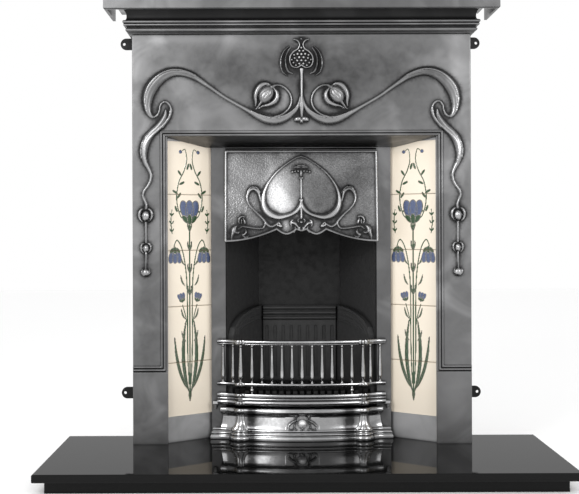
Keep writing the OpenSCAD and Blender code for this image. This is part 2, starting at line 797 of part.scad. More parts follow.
module damper_rod() {
    color(steel) up() translate([0, rod_y, rod_z])
        along_x(2 * (collar_x + collar_t) + 6) circle(rod_r, $fn = 32);
}

// ---- grate ----

module bottom_grate() {
    off = -lining_t - seat_gap;
    y1 = fb_y + off;
    y0 = rail_y + grate_front_gap;
    x0 = corner_x - grate_corner_in;
    rim = 12;
    color(sooty) up() translate([0, 0, ledge_z]) intersection() {
        linear_extrude(grate_t) intersection() {
            polygon([[fb_x(y1, off), y1], [fb_x(jamb_back, off), jamb_back], [x0, y0],
                [-x0, y0], [-fb_x(jamb_back, off), jamb_back], [-fb_x(y1, off), y1]]);
            translate([0, bow_y]) circle(bow_r - grate_front_gap, $fn = 360);
        }
        union() {
            for (k = [-ceil(x0 / bar_pitch):ceil(x0 / bar_pitch)])
                translate([k * bar_pitch - bar_w / 2, y0, 0]) cube([bar_w, y1 - y0, grate_t]);
            for (y = [jamb_back + 8, (jamb_back + y1) / 2, y1 - 14])
                translate([-reach / 2, y, 0]) cube([reach, 14, grate_t]);
            linear_extrude(grate_t) for (s = [-1, 1]) polygon([[s * fb_x(y1, off), y1],
                [s * fb_x(jamb_back, off), jamb_back], [s * (fb_x(jamb_back, off) - rim), jamb_back],
                [s * (fb_x(y1, off) - rim), y1]]);
        }
    }
}

// One rail in plan and height, with its profile centred on the middle line
module bowed_rail(z) {
    translate([0, 0, z]) {
        translate([0, bow_y, 0]) rotate([0, 0, -90 - bow_half])
            rotate_extrude(angle = 2 * bow_half, $fn = 360) translate([bow_r, 0]) children();
        for (s = [-1, 1]) side(s) {
            translate([cove_x, cove_y, 0]) rotate([0, 0, 90]) rotate_extrude(angle = cove_sweep, $fn = 96)
                translate([cove_r, 0]) children();
        }
    }
}

// Boss round a corner, a little taller than the rail that it holds
module boss(z, h, r) {
    translate([0, 0, z - boss_over]) cylinder(r = r, h = h + 2 * boss_over, $fn = 48);
}

module grate_front() {
    low = low_rail_z + low_rail_h / 2;
    post_z = mid_rail_z + mid_rail_h;
    strut_x = (balusters - 1) / 2 * baluster_pitch;
    color(bright) up() {
        bowed_rail(low) {
            translate([0, -low_rail_h / 2 + 6]) rounded_bar(15, 12, 3);
            square([9, low_rail_h - 6], center = true);
            translate([0, low_rail_h / 2 - 4]) rounded_bar(rail_w, 8, 3);
        }
        bowed_rail(mid_rail_z + mid_rail_h / 2) rounded_bar(rail_w - 2, mid_rail_h, 3);
        bowed_rail(top_rail_z + top_rail_h / 2) rounded_bar(rail_w, top_rail_h, 4);
        for (s = [-1, 1]) side(s) {
            translate([corner_x, corner_y, 0]) {
                boss(low_rail_z, 12, boss_r);
                translate([0, 0, low_rail_z]) cylinder(r = 8, h = low_rail_h, $fn = 48);
                boss(low_rail_z + low_rail_h - 8, 8, boss_r - 1);
                boss(mid_rail_z, mid_rail_h, boss_r - 1);
                boss(top_rail_z, top_rail_h, boss_r);
                translate([0, 0, post_z - 1]) post(top_rail_z - post_z + 2, 6);
            }
            translate([rail_end_x - 2, end_y - 6, low_rail_z]) difference() {
                cube([pin_x - rail_end_x + 8, 13, tab_h]);
                translate([pin_x - rail_end_x + 2, pin_y - end_y + 6, -proud])
                    cylinder(r = bolt_r + running, h = tab_h - 2 + proud, $fn = 32);
            }
            translate([strut_x, front_line(strut_x), low_rail_z + low_rail_h - 1]) {
                cylinder(r = 2.5, h = slot_h + 2, $fn = 24);
                translate([0, 0, slot_h / 2 + 1]) sphere(4.5, $fn = 32);
            }
        }
    }
}

// Turned post: thin at the top, swelling three quarters down, with a neck and a bead at the foot
module post(h, r) {
    rotate_extrude($fn = 32) polygon([[0, 0], [0.8 * r, 0], [0.8 * r, 0.03 * h], [0.4 * r, 0.06 * h],
        [0.9 * r, 0.13 * h], [r, 0.2 * h], [0.92 * r, 0.3 * h], [0.5 * r, 0.75 * h], [0.42 * r, 0.94 * h],
        [0.7 * r, 0.97 * h], [0.7 * r, h], [0, h]]);
}

// Pins under the ends of the rails, which hook into the eyes of the fire frame
module grate_pins() {
    color(steel) up() for (s = [-1, 1]) translate([s * pin_x, pin_y, eye_z - 3])
        cylinder(r = bolt_r, h = low_rail_z - eye_z + tab_h, $fn = 32);
}

module grate_balusters() {
    z = mid_rail_z + mid_rail_h;
    h = top_rail_z - z;
    color(bright) up() {
        for (k = [0:balusters - 1]) {
            x = (k - (balusters - 1) / 2) * baluster_pitch;
            translate([x, front_line(x), z]) post(h, 5);
        }
        for (s = [-1, 1], a = side_balusters) side(s)
            translate([cove_x + cove_r * cos(90 + a), cove_y + cove_r * sin(90 + a), z]) post(h, 5);
    }
}

// ---- ash pit ----

// Footprint of the ash cover, drawn out by off from the middle line of the rails, ends at x1
module cover_plan(off, x1) {
    back = jamb_front - fit;
    difference() {
        intersection() {
            translate([-x1, rail_y - off]) square([2 * x1, back - rail_y + off]);
            union() {
                translate([0, bow_y]) circle(bow_r + off, $fn = 360);
                for (s = [-1, 1]) side(s) translate([cove_x - 1, 0]) square(reach);
            }
        }
        for (s = [-1, 1]) {
            translate([s * cove_x, cove_y]) circle(cove_r - off, $fn = 96);
            side(s) translate([cove_x, cove_y + cove_r - off - reach]) square([reach, reach]);
        }
    }
}

module cover_layer(z, h, off, x1) {
    translate([0, 0, z]) linear_extrude(h) cover_plan(off, x1);
}

// Trumpet of a corner pilaster, from its foot on the base up to the lip
module pilaster(h) {
    rotate_extrude($fn = 64) polygon([[0, 0], [24, 0], [17, 0.2 * h], [13.5, 0.5 * h], [12, h], [0, h]]);
}

module ash_cover() {
    back = jamb_front - fit;
    inner = cover_base - 2 * tread - cover_wall;
    color(bright) up() difference() {
        union() {
            cover_layer(0, step_low, cover_base, base_end_x);
            cover_layer(0, step_mid, cover_base - tread, base_end_x - tread);
            cover_layer(0, base_h, cover_base - 2 * tread, base_end_x - 2 * tread);
            cover_layer(0, cover_h - 1, cover_body, cover_end_x - 6);
            cover_layer(cover_h - lip_h, lip_h, cover_lip, cover_end_x);
            for (s = [-1, 1]) translate([s * corner_x, pilaster_y, 0]) {
                cylinder(r = plinth_r, h = step_low, $fn = 64);
                cylinder(r = plinth_r - tread, h = step_mid, $fn = 64);
                cylinder(r = plinth_r - 1.5 * tread, h = base_h, $fn = 64);
                translate([0, 0, base_h]) pilaster(cover_h - lip_h - base_h + 1);
                translate([0, 0, cover_h - lip_h]) cylinder(r = lip_r, h = lip_h, $fn = 64);
            }
            for (s = [-1, 1]) side(s) translate([base_end_x - end_plinth_w, end_y - 16, 0]) {
                cube([end_plinth_w, back - end_y + 16, step_low]);
                translate([tread / 2, tread / 2, 0])
                    cube([end_plinth_w - tread, back - end_y + 16 - tread / 2, step_mid]);
            }
        }
        cover_void(-proud, cover_h + 2 * proud, cover_body - cover_wall, cover_end_x - 6 - cover_wall);
        cover_void(-proud, base_h - cover_wall + proud, inner, cover_end_x - 6);
        translate([0, rail_y - cover_body - proud, knob_z]) rotate([-90, 0, 0])
            cylinder(r = bolt_r + running, h = cover_wall + 2 * proud, $fn = 32);
    }
}

module cover_void(z, h, off, x1) {
    translate([0, 0, z]) linear_extrude(h) {
        cover_plan(off, x1);
        translate([-x1, jamb_front - 2]) square([2 * x1, 4]);
    }
}

module ash_knob() {
    nut_h = 6;
    color(bright) up() translate([0, rail_y - cover_body, knob_z]) rotate([90, 0, 0]) {
        translate([0, 0, knob_r]) sphere(knob_r, $fn = 64);
        cylinder(r = 2 * collar_out, h = collar_out, $fn = 48);
        translate([0, 0, -cover_wall - nut_h]) cylinder(r = bolt_r, h = cover_wall + nut_h + 1, $fn = 32);
        translate([0, 0, -cover_wall - nut_h]) cylinder(r = 1.85 * bolt_r, h = nut_h, $fn = 6);
    }
}

module ash_pan() {
    y0 = jamb_back + 8;
    y1 = fb_y - 24;
    pan_w = back_w - 14;
    t = 2;
    grip_w = 70;
    grip_h = 8;
    color(steel) up() translate([-pan_w / 2, y0, pit_t]) difference() {
        union() {
            cube([pan_w, y1 - y0, pan_h]);
            translate([(pan_w - grip_w) / 2, -6, pan_h - grip_h]) cube([grip_w, 7, grip_h]);
        }
        translate([t, t, t]) cube([pan_w - 2 * t, y1 - y0 - 2 * t, pan_h]);
    }
}

hearth_slab();
hearth_front_slip();
hearth_slip(-1);  // hearth_slip_left
hearth_slip(1);  // hearth_slip_right
hearth_bed();
surround();
mantel_shelf();
shelf_bolts();
lug(-1, lug_low_z + lug_rise);  // lug_top_left
lug(1, lug_low_z + lug_rise);  // lug_top_right
lug(-1, lug_low_z);  // lug_bottom_left
lug(1, lug_low_z);  // lug_bottom_right
lug_bolts();
tile_frame(-1);  // tile_frame_left
tile_frame(1);  // tile_frame_right
tile(-1, 1);  // tile_left_1
tile(-1, 2);  // tile_left_2
tile(-1, 3);  // tile_left_3
tile(-1, 4);  // tile_left_4
tile(-1, 5);  // tile_left_5
tile(1, 1);  // tile_right_1
tile(1, 2);  // tile_right_2
tile(1, 3);  // tile_right_3
tile(1, 4);  // tile_right_4
tile(1, 5);  // tile_right_5
tile_clamps(-1);  // tile_clamps_left
tile_clamps(1);  // tile_clamps_right
clamp_screws();
frame_bolts();
head_panel();
head_bolts();
fire_frame();
canopy();
canopy_pins();
fireback();
fireback_bolts();
lining_back();
lining_side(-1);  // lining_left
lining_side(1);  // lining_right
pit_floor();
throat_plate();
damper_flap();
damper_rod();
bottom_grate();
grate_front();
grate_balusters();
grate_pins();
ash_cover();
ash_knob();
ash_pan();
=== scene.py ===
"""Looks of a cast iron fireplace: burnished castings with whiplash ornament, glazed tiles and granite."""

import json
import logging
import math
from dataclasses import dataclass, field
from enum import Enum
from typing import Callable, Sequence

import bmesh  # noqa: E402
import bpy  # noqa: E402
import numpy as np  # noqa: E402
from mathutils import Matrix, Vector  # noqa: E402

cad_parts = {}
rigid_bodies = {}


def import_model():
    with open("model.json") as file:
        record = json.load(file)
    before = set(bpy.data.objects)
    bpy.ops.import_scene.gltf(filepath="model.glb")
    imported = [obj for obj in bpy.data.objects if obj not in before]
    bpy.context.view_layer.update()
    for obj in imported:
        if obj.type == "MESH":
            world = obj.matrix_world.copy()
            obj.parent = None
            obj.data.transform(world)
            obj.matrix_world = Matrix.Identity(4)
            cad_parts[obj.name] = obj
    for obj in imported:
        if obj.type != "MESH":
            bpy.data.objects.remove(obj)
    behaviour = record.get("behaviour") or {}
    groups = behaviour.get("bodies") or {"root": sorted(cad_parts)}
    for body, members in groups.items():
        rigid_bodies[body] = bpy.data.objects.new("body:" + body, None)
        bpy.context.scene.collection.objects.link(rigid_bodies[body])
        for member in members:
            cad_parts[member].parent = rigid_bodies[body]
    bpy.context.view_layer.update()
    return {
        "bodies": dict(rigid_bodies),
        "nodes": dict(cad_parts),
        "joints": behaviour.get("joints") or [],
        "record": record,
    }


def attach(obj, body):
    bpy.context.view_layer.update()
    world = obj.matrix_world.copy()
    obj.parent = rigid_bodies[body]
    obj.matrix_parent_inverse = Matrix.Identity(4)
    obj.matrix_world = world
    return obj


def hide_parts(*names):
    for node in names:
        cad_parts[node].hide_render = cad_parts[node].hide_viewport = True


log = logging.getLogger("fireplace")

MM = 0.001
HEARTH_TOP = 50.0
STAMP_STEP = 1.0

Grid = np.ndarray
Piece = bpy.types.Object
Node = bpy.types.Node
Tree = bpy.types.NodeTree
Socket = bpy.types.NodeSocket
Knots = Sequence[Sequence[float]]
Spot = tuple[float, float]
Line = Sequence[Spot]
Looks = dict[str, Grid]
Scale = Callable[[Knots], Knots]


class Body(Enum):
    """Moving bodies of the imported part."""

    FIREPLACE = "fireplace"
    HOOD = "hood"
    DAMPER = "damper"
    BASKET = "fire_basket"
    FRONT_BARS = "front_bars"
    ASH_FRONT = "ash_front"
    ASH_TRAY = "ash_tray"


class Slot(Enum):
    """Material slots of the record."""

    BURNISHED = "burnished_iron"
    SOOTY = "firebox_iron"
    BRIGHT = "polished_iron"
    STEEL = "fixing_steel"
    GRANITE = "granite"
    MORTAR = "mortar"
    GLAZE = "tile_glaze"


# ---------------------------------------------------------------- geometry


def smooth_path(knots: Knots, step: float) -> Grid:
    """Runs a Catmull-Rom curve through knots.

    Args:
        knots: Rows of x, z and any values that change along the curve.
        step: Longest distance between two samples, in the knots' own units.

    Returns:
        Samples with the same columns as the knots.
    """
    k = np.array(knots, float)
    k = np.vstack([2 * k[0] - k[1], k, 2 * k[-1] - k[-2]])
    rows = []
    for a, b, c, d in zip(k[:-3], k[1:-2], k[2:-1], k[3:]):
        count = max(2, math.ceil(float(np.hypot(*(c - b)[:2])) / step))
        t = np.linspace(0, 1, count, endpoint=False)[:, None]
        rows.append(
            0.5 * (2 * b + (c - a) * t + (2 * a - 5 * b + 4 * c - d) * t**2 + (3 * b - a - 3 * c + d) * t**3))
    return np.vstack([*rows, k[-2:-1]])


def blurred(field_: Grid, radius: int) -> Grid:
    """Softens a grid with a Gaussian whose radius is in cells."""
    reach = 3 * radius
    taps = np.exp(-0.5 * (np.arange(-reach, reach + 1) / radius) ** 2)
    taps /= taps.sum()
    out = field_
    for axis in (0, 1):
        pad = [(reach, reach) if a == axis else (0, 0) for a in (0, 1)]
        wide = np.pad(out, pad, mode="edge")
        n = out.shape[axis]
        out = sum(w * np.take(wide, range(i, i + n), axis=axis) for i, w in enumerate(taps))
    return out


def face_outwards(mesh: bpy.types.Mesh) -> None:
    """Turns the faces of a closed mesh outwards."""
    work = bmesh.new()
    work.from_mesh(mesh)
    bmesh.ops.recalc_face_normals(work, faces=work.faces)
    work.to_mesh(mesh)
    work.free()


def mesh_object(
    name: str, points: Grid, faces: Sequence[Sequence[int]] | Grid, values: Looks | None = None,
    sharp: float = 35.0,
) -> Piece:
    """Makes a smooth mesh object from points in millimetres.

    Args:
        name: Name of the piece.
        points: Rows of x, y, z in millimetres.
        faces: Corner numbers of each face.
        values: Values per point, kept as float attributes for the material.
        sharp: Angle in degrees from which an edge stays sharp.

    Returns:
        The linked object.
    """
    mesh = bpy.data.meshes.new(name)
    if isinstance(faces, Grid):
        count, corners = faces.shape
        mesh.vertices.add(len(points))
        mesh.vertices.foreach_set("co", (points * MM).astype(np.float32).ravel())
        mesh.loops.add(count * corners)
        mesh.loops.foreach_set("vertex_index", faces.astype(np.int32).ravel())
        mesh.polygons.add(count)
        mesh.polygons.foreach_set("loop_start", np.arange(0, count * corners, corners, dtype=np.int32))
        mesh.update(calc_edges=True)
    else:
        mesh.from_pydata((np.asarray(points) * MM).tolist(), [], [list(f) for f in faces])
        face_outwards(mesh)
    for key, value in (values or {}).items():
        mesh.attributes.new(key, "FLOAT", "POINT").data.foreach_set("value", value.astype(np.float32).ravel())
    mesh.polygons.foreach_set("use_smooth", np.ones(len(mesh.polygons), bool))
    mesh.set_sharp_from_angle(angle=math.radians(sharp))
    mesh.validate()
    made = bpy.data.objects.new(name, mesh)
    bpy.context.scene.collection.objects.link(made)
    return made


def grid_faces(mask: Grid, start: int = 0, flip: bool = False) -> Grid:
    """Lists the quads of a grid's cells, from the number of its first point on, and may flip them."""
    rows, cols = mask.shape
    i, j = np.nonzero(mask)
    a = start + i * (cols + 1) + j
    quad = np.stack([a, a + 1, a + cols + 2, a + cols + 1], axis=1)
    return quad[:, ::-1] if flip else quad


def shell(name: str, front: Grid, back: Grid, mask: Grid, values: Looks) -> Piece:
    """Closes a relief between a front grid and a back grid.

    Args:
        name: Name of the piece.
        front: Grid of front points in millimetres.
        back: Grid of back points of the same shape.
        mask: Cells that belong to the piece.
        values: Attributes on the grid.

    Returns:
        The closed piece.
    """
    n = front.shape[0] * front.shape[1]
    cols = front.shape[1]
    faces = [grid_faces(mask), grid_faces(mask, n, flip=True)]
    wide = np.pad(mask, 1)
    for axis, side in ((0, -1), (0, 1), (1, -1), (1, 1)):
        edge = mask & ~np.roll(wide, -side, axis=axis)[1:-1, 1:-1]
        i, j = np.nonzero(edge)
        if axis == 0:
            a = (i + (side > 0)) * cols + j
            b = a + 1
        else:
            a = i * cols + j + (side > 0)
            b = a + cols
        wall = np.stack([a, b, b + n, a + n], axis=1)
        faces.append(wall[:, ::-1] if (axis == 0) == (side < 0) else wall)
    points = np.vstack([front.reshape(-1, 3), back.reshape(-1, 3)])
    quads = np.vstack(faces)
    used, slim = np.unique(quads, return_inverse=True)
    both = {k: np.concatenate([v.ravel(), np.zeros(n)])[used] for k, v in values.items()}
    return mesh_object(name, points[used], slim.reshape(quads.shape), both)


def tube_faces(first: int, count: int, sides: int) -> list[Sequence[int]]:
    """Lists the faces of a closed tube of rings, with its two ends, from its first point's number on."""
    last = first + (count - 1) * sides
    faces: list[Sequence[int]] = []
    for a in range(first, last, sides):
        faces += [
            (a + k, a + (k + 1) % sides, a + sides + (k + 1) % sides, a + sides + k) for k in range(sides)]
    return [*faces, range(first + sides - 1, first - 1, -1), range(last, last + sides)]


def swept(
    name: str, profile: Knots, rings: Callable[[float], Line],
    shade: Callable[[float, float], float] | None = None, tone: Callable[[float], float] | None = None,
) -> Piece:
    """Sweeps a closed profile along a plan that is drawn out by the profile's first value.

    Args:
        name: Name of the piece.
        profile: Closed loop of (out, height above the hearth).
        rings: Gives the plan's points (x, y) for an out value.
        shade: Gives the graphite and painted shade for an (out, height) of the profile.
        tone: Gives the painted light and shade of the metal for an x.

    Returns:
        The swept piece.
    """
    stations = [rings(out) for out, _ in profile]
    count, n = len(stations[0]), len(profile)
    points = [(*stations[k][s], profile[k][1] + HEARTH_TOP) for s in range(count) for k in range(n)]
    values = {}
    # Graphite and painted shade, by place on the profile.
    if shade:
        values["patina_and_shade"] = np.array([shade(*row) for row in profile] * count)
    # Painted light and shade across the piece, by x.
    if tone:
        values["tone"] = np.array([tone(x) for x, _, _ in points])
    return mesh_object(name, np.array(points), tube_faces(0, count, n), values)


def turned(
    name: str, profile: Knots, centres: Line, sides: int = 40, lobes: int = 0, groove: float = 0.0,
    sharp: float = 35.0,
) -> Piece:
    """Turns a profile about upright axes, round, oval or lobed.

    Args:
        name: Name of the piece.
        profile: Line of (half width, height above the hearth) or (half width, height, half depth).
        centres: Plan centre of each copy.
        sides: Sides of each copy.
        lobes: Ribs over half a turn, one of them to the front.
        groove: Depth of their grooves, as a share of the radius.
        sharp: Angle from which an edge stays sharp.

    Returns:
        One mesh with all the copies.
    """
    points: list[tuple[float, float, float]] = []
    faces: list[Sequence[int]] = []
    for cx, cy in centres:
        first = len(points)
        for row in profile:
            rx, z, ry = row[0], row[1], row[2] if len(row) > 2 else row[0]
            for k in range(sides):
                a = 2 * math.pi * k / sides
                rib = 1 - groove * (1 - abs(math.cos(lobes * (a + math.pi / 2))))
                points.append((cx + rib * rx * math.cos(a), cy + rib * ry * math.sin(a), z + HEARTH_TOP))
        faces += tube_faces(first, len(profile), sides)
    return mesh_object(name, np.array(points), faces, sharp=sharp)


def rods(name: str, paths: Sequence[Grid], up: Grid, radius: float) -> Piece:
    """Lays round rods along paths in one plane.

    Args:
        name: Name of the piece.
        paths: Points of each rod's middle line, in millimetres above the hearth.
        up: Direction square to the plane.
        radius: Radius of the rods.

    Returns:
        One mesh with all the rods.
    """
    points, faces, sides = [], [], 10
    turns = 2 * np.pi * np.arange(sides) / sides
    for path in paths:
        first = sum(len(part) for part in points)
        aside = np.cross(np.gradient(path, axis=0), up)
        aside /= np.linalg.norm(aside, axis=1)[:, None]
        ring = np.cos(turns)[None, :, None] * aside[:, None, :] + np.sin(turns)[None, :, None] * up
        points.append((path[:, None, :] + radius * ring + (0, 0, HEARTH_TOP)).reshape(-1, 3))
        faces += tube_faces(first, len(path), sides)
    return mesh_object(name, np.concatenate(points), faces)


def slab(name: str, low: Sequence[float], high: Sequence[float], ease: float) -> Piece:
    """Makes a block between two corners in millimetres, their heights above the hearth, with eased edges."""
    corners = [
        (x, y, z + HEARTH_TOP)
        for z in (low[2], high[2])
        for y in (low[1], high[1])
        for x in (low[0], high[0])]
    faces = [(0, 2, 3, 1), (4, 5, 7, 6), (0, 1, 5, 4), (2, 6, 7, 3), (0, 4, 6, 2), (1, 3, 7, 5)]
    made = mesh_object(name, np.array(corners), faces)
    soften_edges(made, ease)
    return made


def soften_edges(piece: Piece, width: float) -> None:
    """Gives a piece small rounded edges, of a width in millimetres, that catch the light."""
    bevel = piece.modifiers.new("eased edges", "BEVEL")
    bevel.width = width * MM
    bevel.segments = 2
    bevel.limit_method = "ANGLE"
    bevel.angle_limit = math.radians(40)
    bevel.harden_normals = True


# ---------------------------------------------------------------- relief


@dataclass
class Relief:
    """Height field in which cast ornament is drawn, in millimetres on a face of x across and z up.

    Attributes:
        xs: Places of the columns.
        zs: Places of the rows.
        height: How far each point stands out of the face.
        dark: Extra graphite and painted shade, laid in oval patches.
        tone: Painted highlights and shade, in brighter and darker patches.
    """

    xs: Grid
    zs: Grid
    height: Grid = field(init=False)
    dark: Grid = field(init=False)
    tone: Grid = field(init=False)

    def __post_init__(self) -> None:
        """Starts with a flat, clean face."""
        self.height = np.zeros((len(self.zs), len(self.xs)))
        self.dark = np.zeros_like(self.height)
        self.tone = np.zeros_like(self.height)

    def _window(self, x: float, z: float, r: float) -> tuple[slice, slice, Grid, Grid]:
        """Rows and columns within r of a point, and their offsets from it."""
        cols = slice(*np.searchsorted(self.xs, (x - r, x + r)))
        rows = slice(*np.searchsorted(self.zs, (z - r, z + r)))
        return rows, cols, self.xs[cols][None, :] - x, self.zs[rows][:, None] - z

    def draw(self, scale: Scale, power: float = 0.6, mirror: bool = True, **strokes: Knots) -> None:
        """Raises named strokes, whose rows of pixels the scale turns into millimetres."""
        for rows in strokes.values():
            self.ridge(scale(rows), power, mirror)

    def ridge(self, knots: Knots, power: float = 0.6, mirror: bool = True) -> None:
        """Raises a rounded ridge along a curve.

        Args:
            knots: Rows of x, z, half width and height.
            power: Roundness of the section: 0.5 is a half round, 1 a soft swell.
            mirror: Draws the other half as well.
        """
        for x, z, w, h in smooth_path(knots, STAMP_STEP):
            for s in (1, -1) if mirror else (1,):
                rows, cols, dx, dz = self._window(s * x, z, w)
                lift = h * np.clip(1 - (dx**2 + dz**2) / w**2, 0, 1) ** power
                self.height[rows, cols] = np.maximum(self.height[rows, cols], lift)

    def cut(self, knots: Knots) -> None:
        """Cuts a soft groove on both sides, along rows of x, z, half width and depth."""
        groove = np.zeros_like(self.height)
        for x, z, w, d in smooth_path(knots, STAMP_STEP):
            for s in (1, -1):
                rows, cols, dx, dz = self._window(s * x, z, w)
                deep = d * np.clip(1 - (dx**2 + dz**2) / w**2, 0, 1)
                groove[rows, cols] = np.maximum(groove[rows, cols], deep)
        self.height -= groove

    def petal(
        self, x: float, z: float, across: float, along: float, turn: float, h: float, power: float = 0.5,
        mirror: bool = True,
    ) -> None:
        """Raises an oval boss.

        Args:
            x: Middle of the boss, across.
            z: Middle of the boss, up.
            across: Half width.
            along: Half length.
            turn: Lean of its length in degrees towards +x.
            h: Height.
            power: Roundness of the section.
            mirror: Draws the other half as well.
        """
        c, s = math.cos(math.radians(turn)), math.sin(math.radians(turn))
        for sign in (1, -1) if mirror else (1,):
            rows, cols, dx, dz = self._window(sign * x, z, max(across, along))
            u = (sign * dx * c - dz * s) / across
            v = (sign * dx * s + dz * c) / along
            lift = h * np.clip(1 - u**2 - v**2, 0, 1) ** power
            self.height[rows, cols] = np.maximum(self.height[rows, cols], lift)

    def shade(self, x: float, z: float, rx: float, rz: float, amount: float = 1.0) -> None:
        """Paints dark graphite and shade into an oval patch of the ground."""
        rows, cols, dx, dz = self._window(x, z, 1.5 * max(rx, rz))
        patch = amount * np.clip(1.5 - np.hypot(dx / rx, dz / rz) * 1.2, 0, 1)
        self.dark[rows, cols] = np.maximum(self.dark[rows, cols], patch)

    def paint_light(self, x: float, z: float, rx: float, rz: float, amount: float) -> None:
        """Paints an oval patch of light into the face, or of shade where the amount is below 0."""
        rows, cols, dx, dz = self._window(x, z, 2.2 * max(rx, rz))
        self.tone[rows, cols] += amount * np.exp(-1.2 * ((dx / rx) ** 2 + (dz / rz) ** 2))

    def looks(self, near: int, far: int, full: float) -> Looks:
        """Works out what the polisher's wheel reaches, and paints shade round the raised work.

        Args:
            near: Reach in cells of the dense dark line at the foot of a ridge.
            far: Reach in cells of the softer halo.
            full: Height in millimetres from which metal is polished bright.

        Returns:
            Attributes: patina_and_shade from 0 to 1, polish from 0 to 1 and the tone patches.
        """
        raised = (self.height > 0.35).astype(float)
        # Graphite round the raised work, its halo widened to hold painted shade as well.
        halo = np.clip(1.10 * blurred(raised, near) + 1.30 * blurred(raised, far), 0, 1)
        crest = np.clip((self.height - 0.3 * full) / (0.7 * full), 0, 1)
        patina_and_shade = np.clip(np.maximum(halo, self.dark) - 1.3 * crest, 0, 1)
        stand = self.height - blurred(self.height, (near + far) // 2)
        polish = np.clip((stand - 0.25 * full) / (1.6 * full), 0, 1)
        return {"patina_and_shade": patina_and_shade, "polish": polish, "tone": self.tone}


# ---------------------------------------------------------------- node groups and finishes


class Sketch:
    """Short hand for building a shader tree."""

    def __init__(self, tree: Tree) -> None:
        """Keeps the tree that nodes are added to."""
        self.tree = tree

    def node(self, kind: str, sockets: dict[str | int, object] | None = None, **values: object) -> Node:
        """Adds a node.

        Args:
            kind: Type of the node without its prefix.
            sockets: Numbers, colours or links for its inputs, by name or by place.
            **values: Properties of the node.

        Returns:
            The new node.
        """
        made = self.tree.nodes.new("ShaderNode" + kind)
        for key, value in values.items():
            setattr(made, key, value)
        for key, value in (sockets or {}).items():
            self.put(made.inputs[key], value)
        return made

    def put(self, socket: Socket, value: object) -> None:
        """Links a socket to another one, or sets its value."""
        if isinstance(value, Socket):
            self.tree.links.new(value, socket)
        else:
            socket.default_value = value

    def math(self, operation: str, a: object, b: object = 0.0, clamp: bool = False) -> Socket:
        """Adds a math node and returns its result."""
        return self.node("Math", {0: a, 1: b}, operation=operation, use_clamp=clamp).outputs[0]

    def times(self, a: object, b: object, clamp: bool = False) -> Socket:
        """Multiplies two values."""
        return self.math("MULTIPLY", a, b, clamp)

    def plus(self, a: object, b: object) -> Socket:
        """Adds two values."""
        return self.math("ADD", a, b)

    def less(self, a: object, b: object) -> Socket:
        """Takes the second value from the first."""
        return self.math("SUBTRACT", a, b)

    def blend(self, factor: object, a: object, b: object, mode: str = "MIX") -> Socket:
        """Mixes two colours and returns the result."""
        return self.node("Mix", {0: factor, 6: a, 7: b}, data_type="RGBA", blend_type=mode).outputs[2]

    def remap(
        self, value: object, low: float, high: float, to_low: float = 0.0, to_high: float = 1.0,
    ) -> Socket:
        """Maps a range of a value smoothly onto another range."""
        limits = {0: value, 1: low, 2: high, 3: to_low, 4: to_high}
        return self.node("MapRange", limits, interpolation_type="SMOOTHSTEP").outputs[0]

    def gray(self, value: Socket) -> Socket:
        """Makes a neutral colour of a value that may pass 1."""
        return self.node("CombineColor", {0: value, 1: value, 2: value}).outputs[0]

    def attribute(self, name: str) -> Socket:
        """Reads a float attribute of the mesh; pieces without it give 0."""
        return self.node("Attribute", attribute_name=name).outputs["Fac"]

    def place(self) -> Socket:
        """Gives the place on the piece."""
        return self.node("TexCoord").outputs["Object"]

    def noise(
        self, scale: float, detail: float = 4.0, rough: float = 0.55, bend: float = 0.0,
        stretch: Sequence[float] = (1, 1, 1),
    ) -> Socket:
        """Adds a noise over the piece and returns its factor."""
        place = self.node("Mapping", {0: self.place(), "Scale": stretch}).outputs[0]
        values = {"Vector": place, "Scale": scale, "Detail": detail, "Roughness": rough, "Distortion": bend}
        return self.node("TexNoise", values, noise_dimensions="3D").outputs[0]


def new_group(name: str, inputs: dict[str, float], outputs: Sequence[str]) -> tuple[Tree, Sketch, Node, Node]:
    """Starts a shader node group with named sockets.

    Args:
        name: Name of the group.
        inputs: Float inputs and their defaults.
        outputs: Names of the float outputs.

    Returns:
        The tree, a sketch of it, its input node and its output node.
    """
    tree = bpy.data.node_groups.new(name, "ShaderNodeTree")
    for key, value in inputs.items():
        tree.interface.new_socket(key, in_out="INPUT", socket_type="NodeSocketFloat").default_value = value
    for key in outputs:
        tree.interface.new_socket(key, in_out="OUTPUT", socket_type="NodeSocketFloat")
    return tree, Sketch(tree), tree.nodes.new("NodeGroupInput"), tree.nodes.new("NodeGroupOutput")


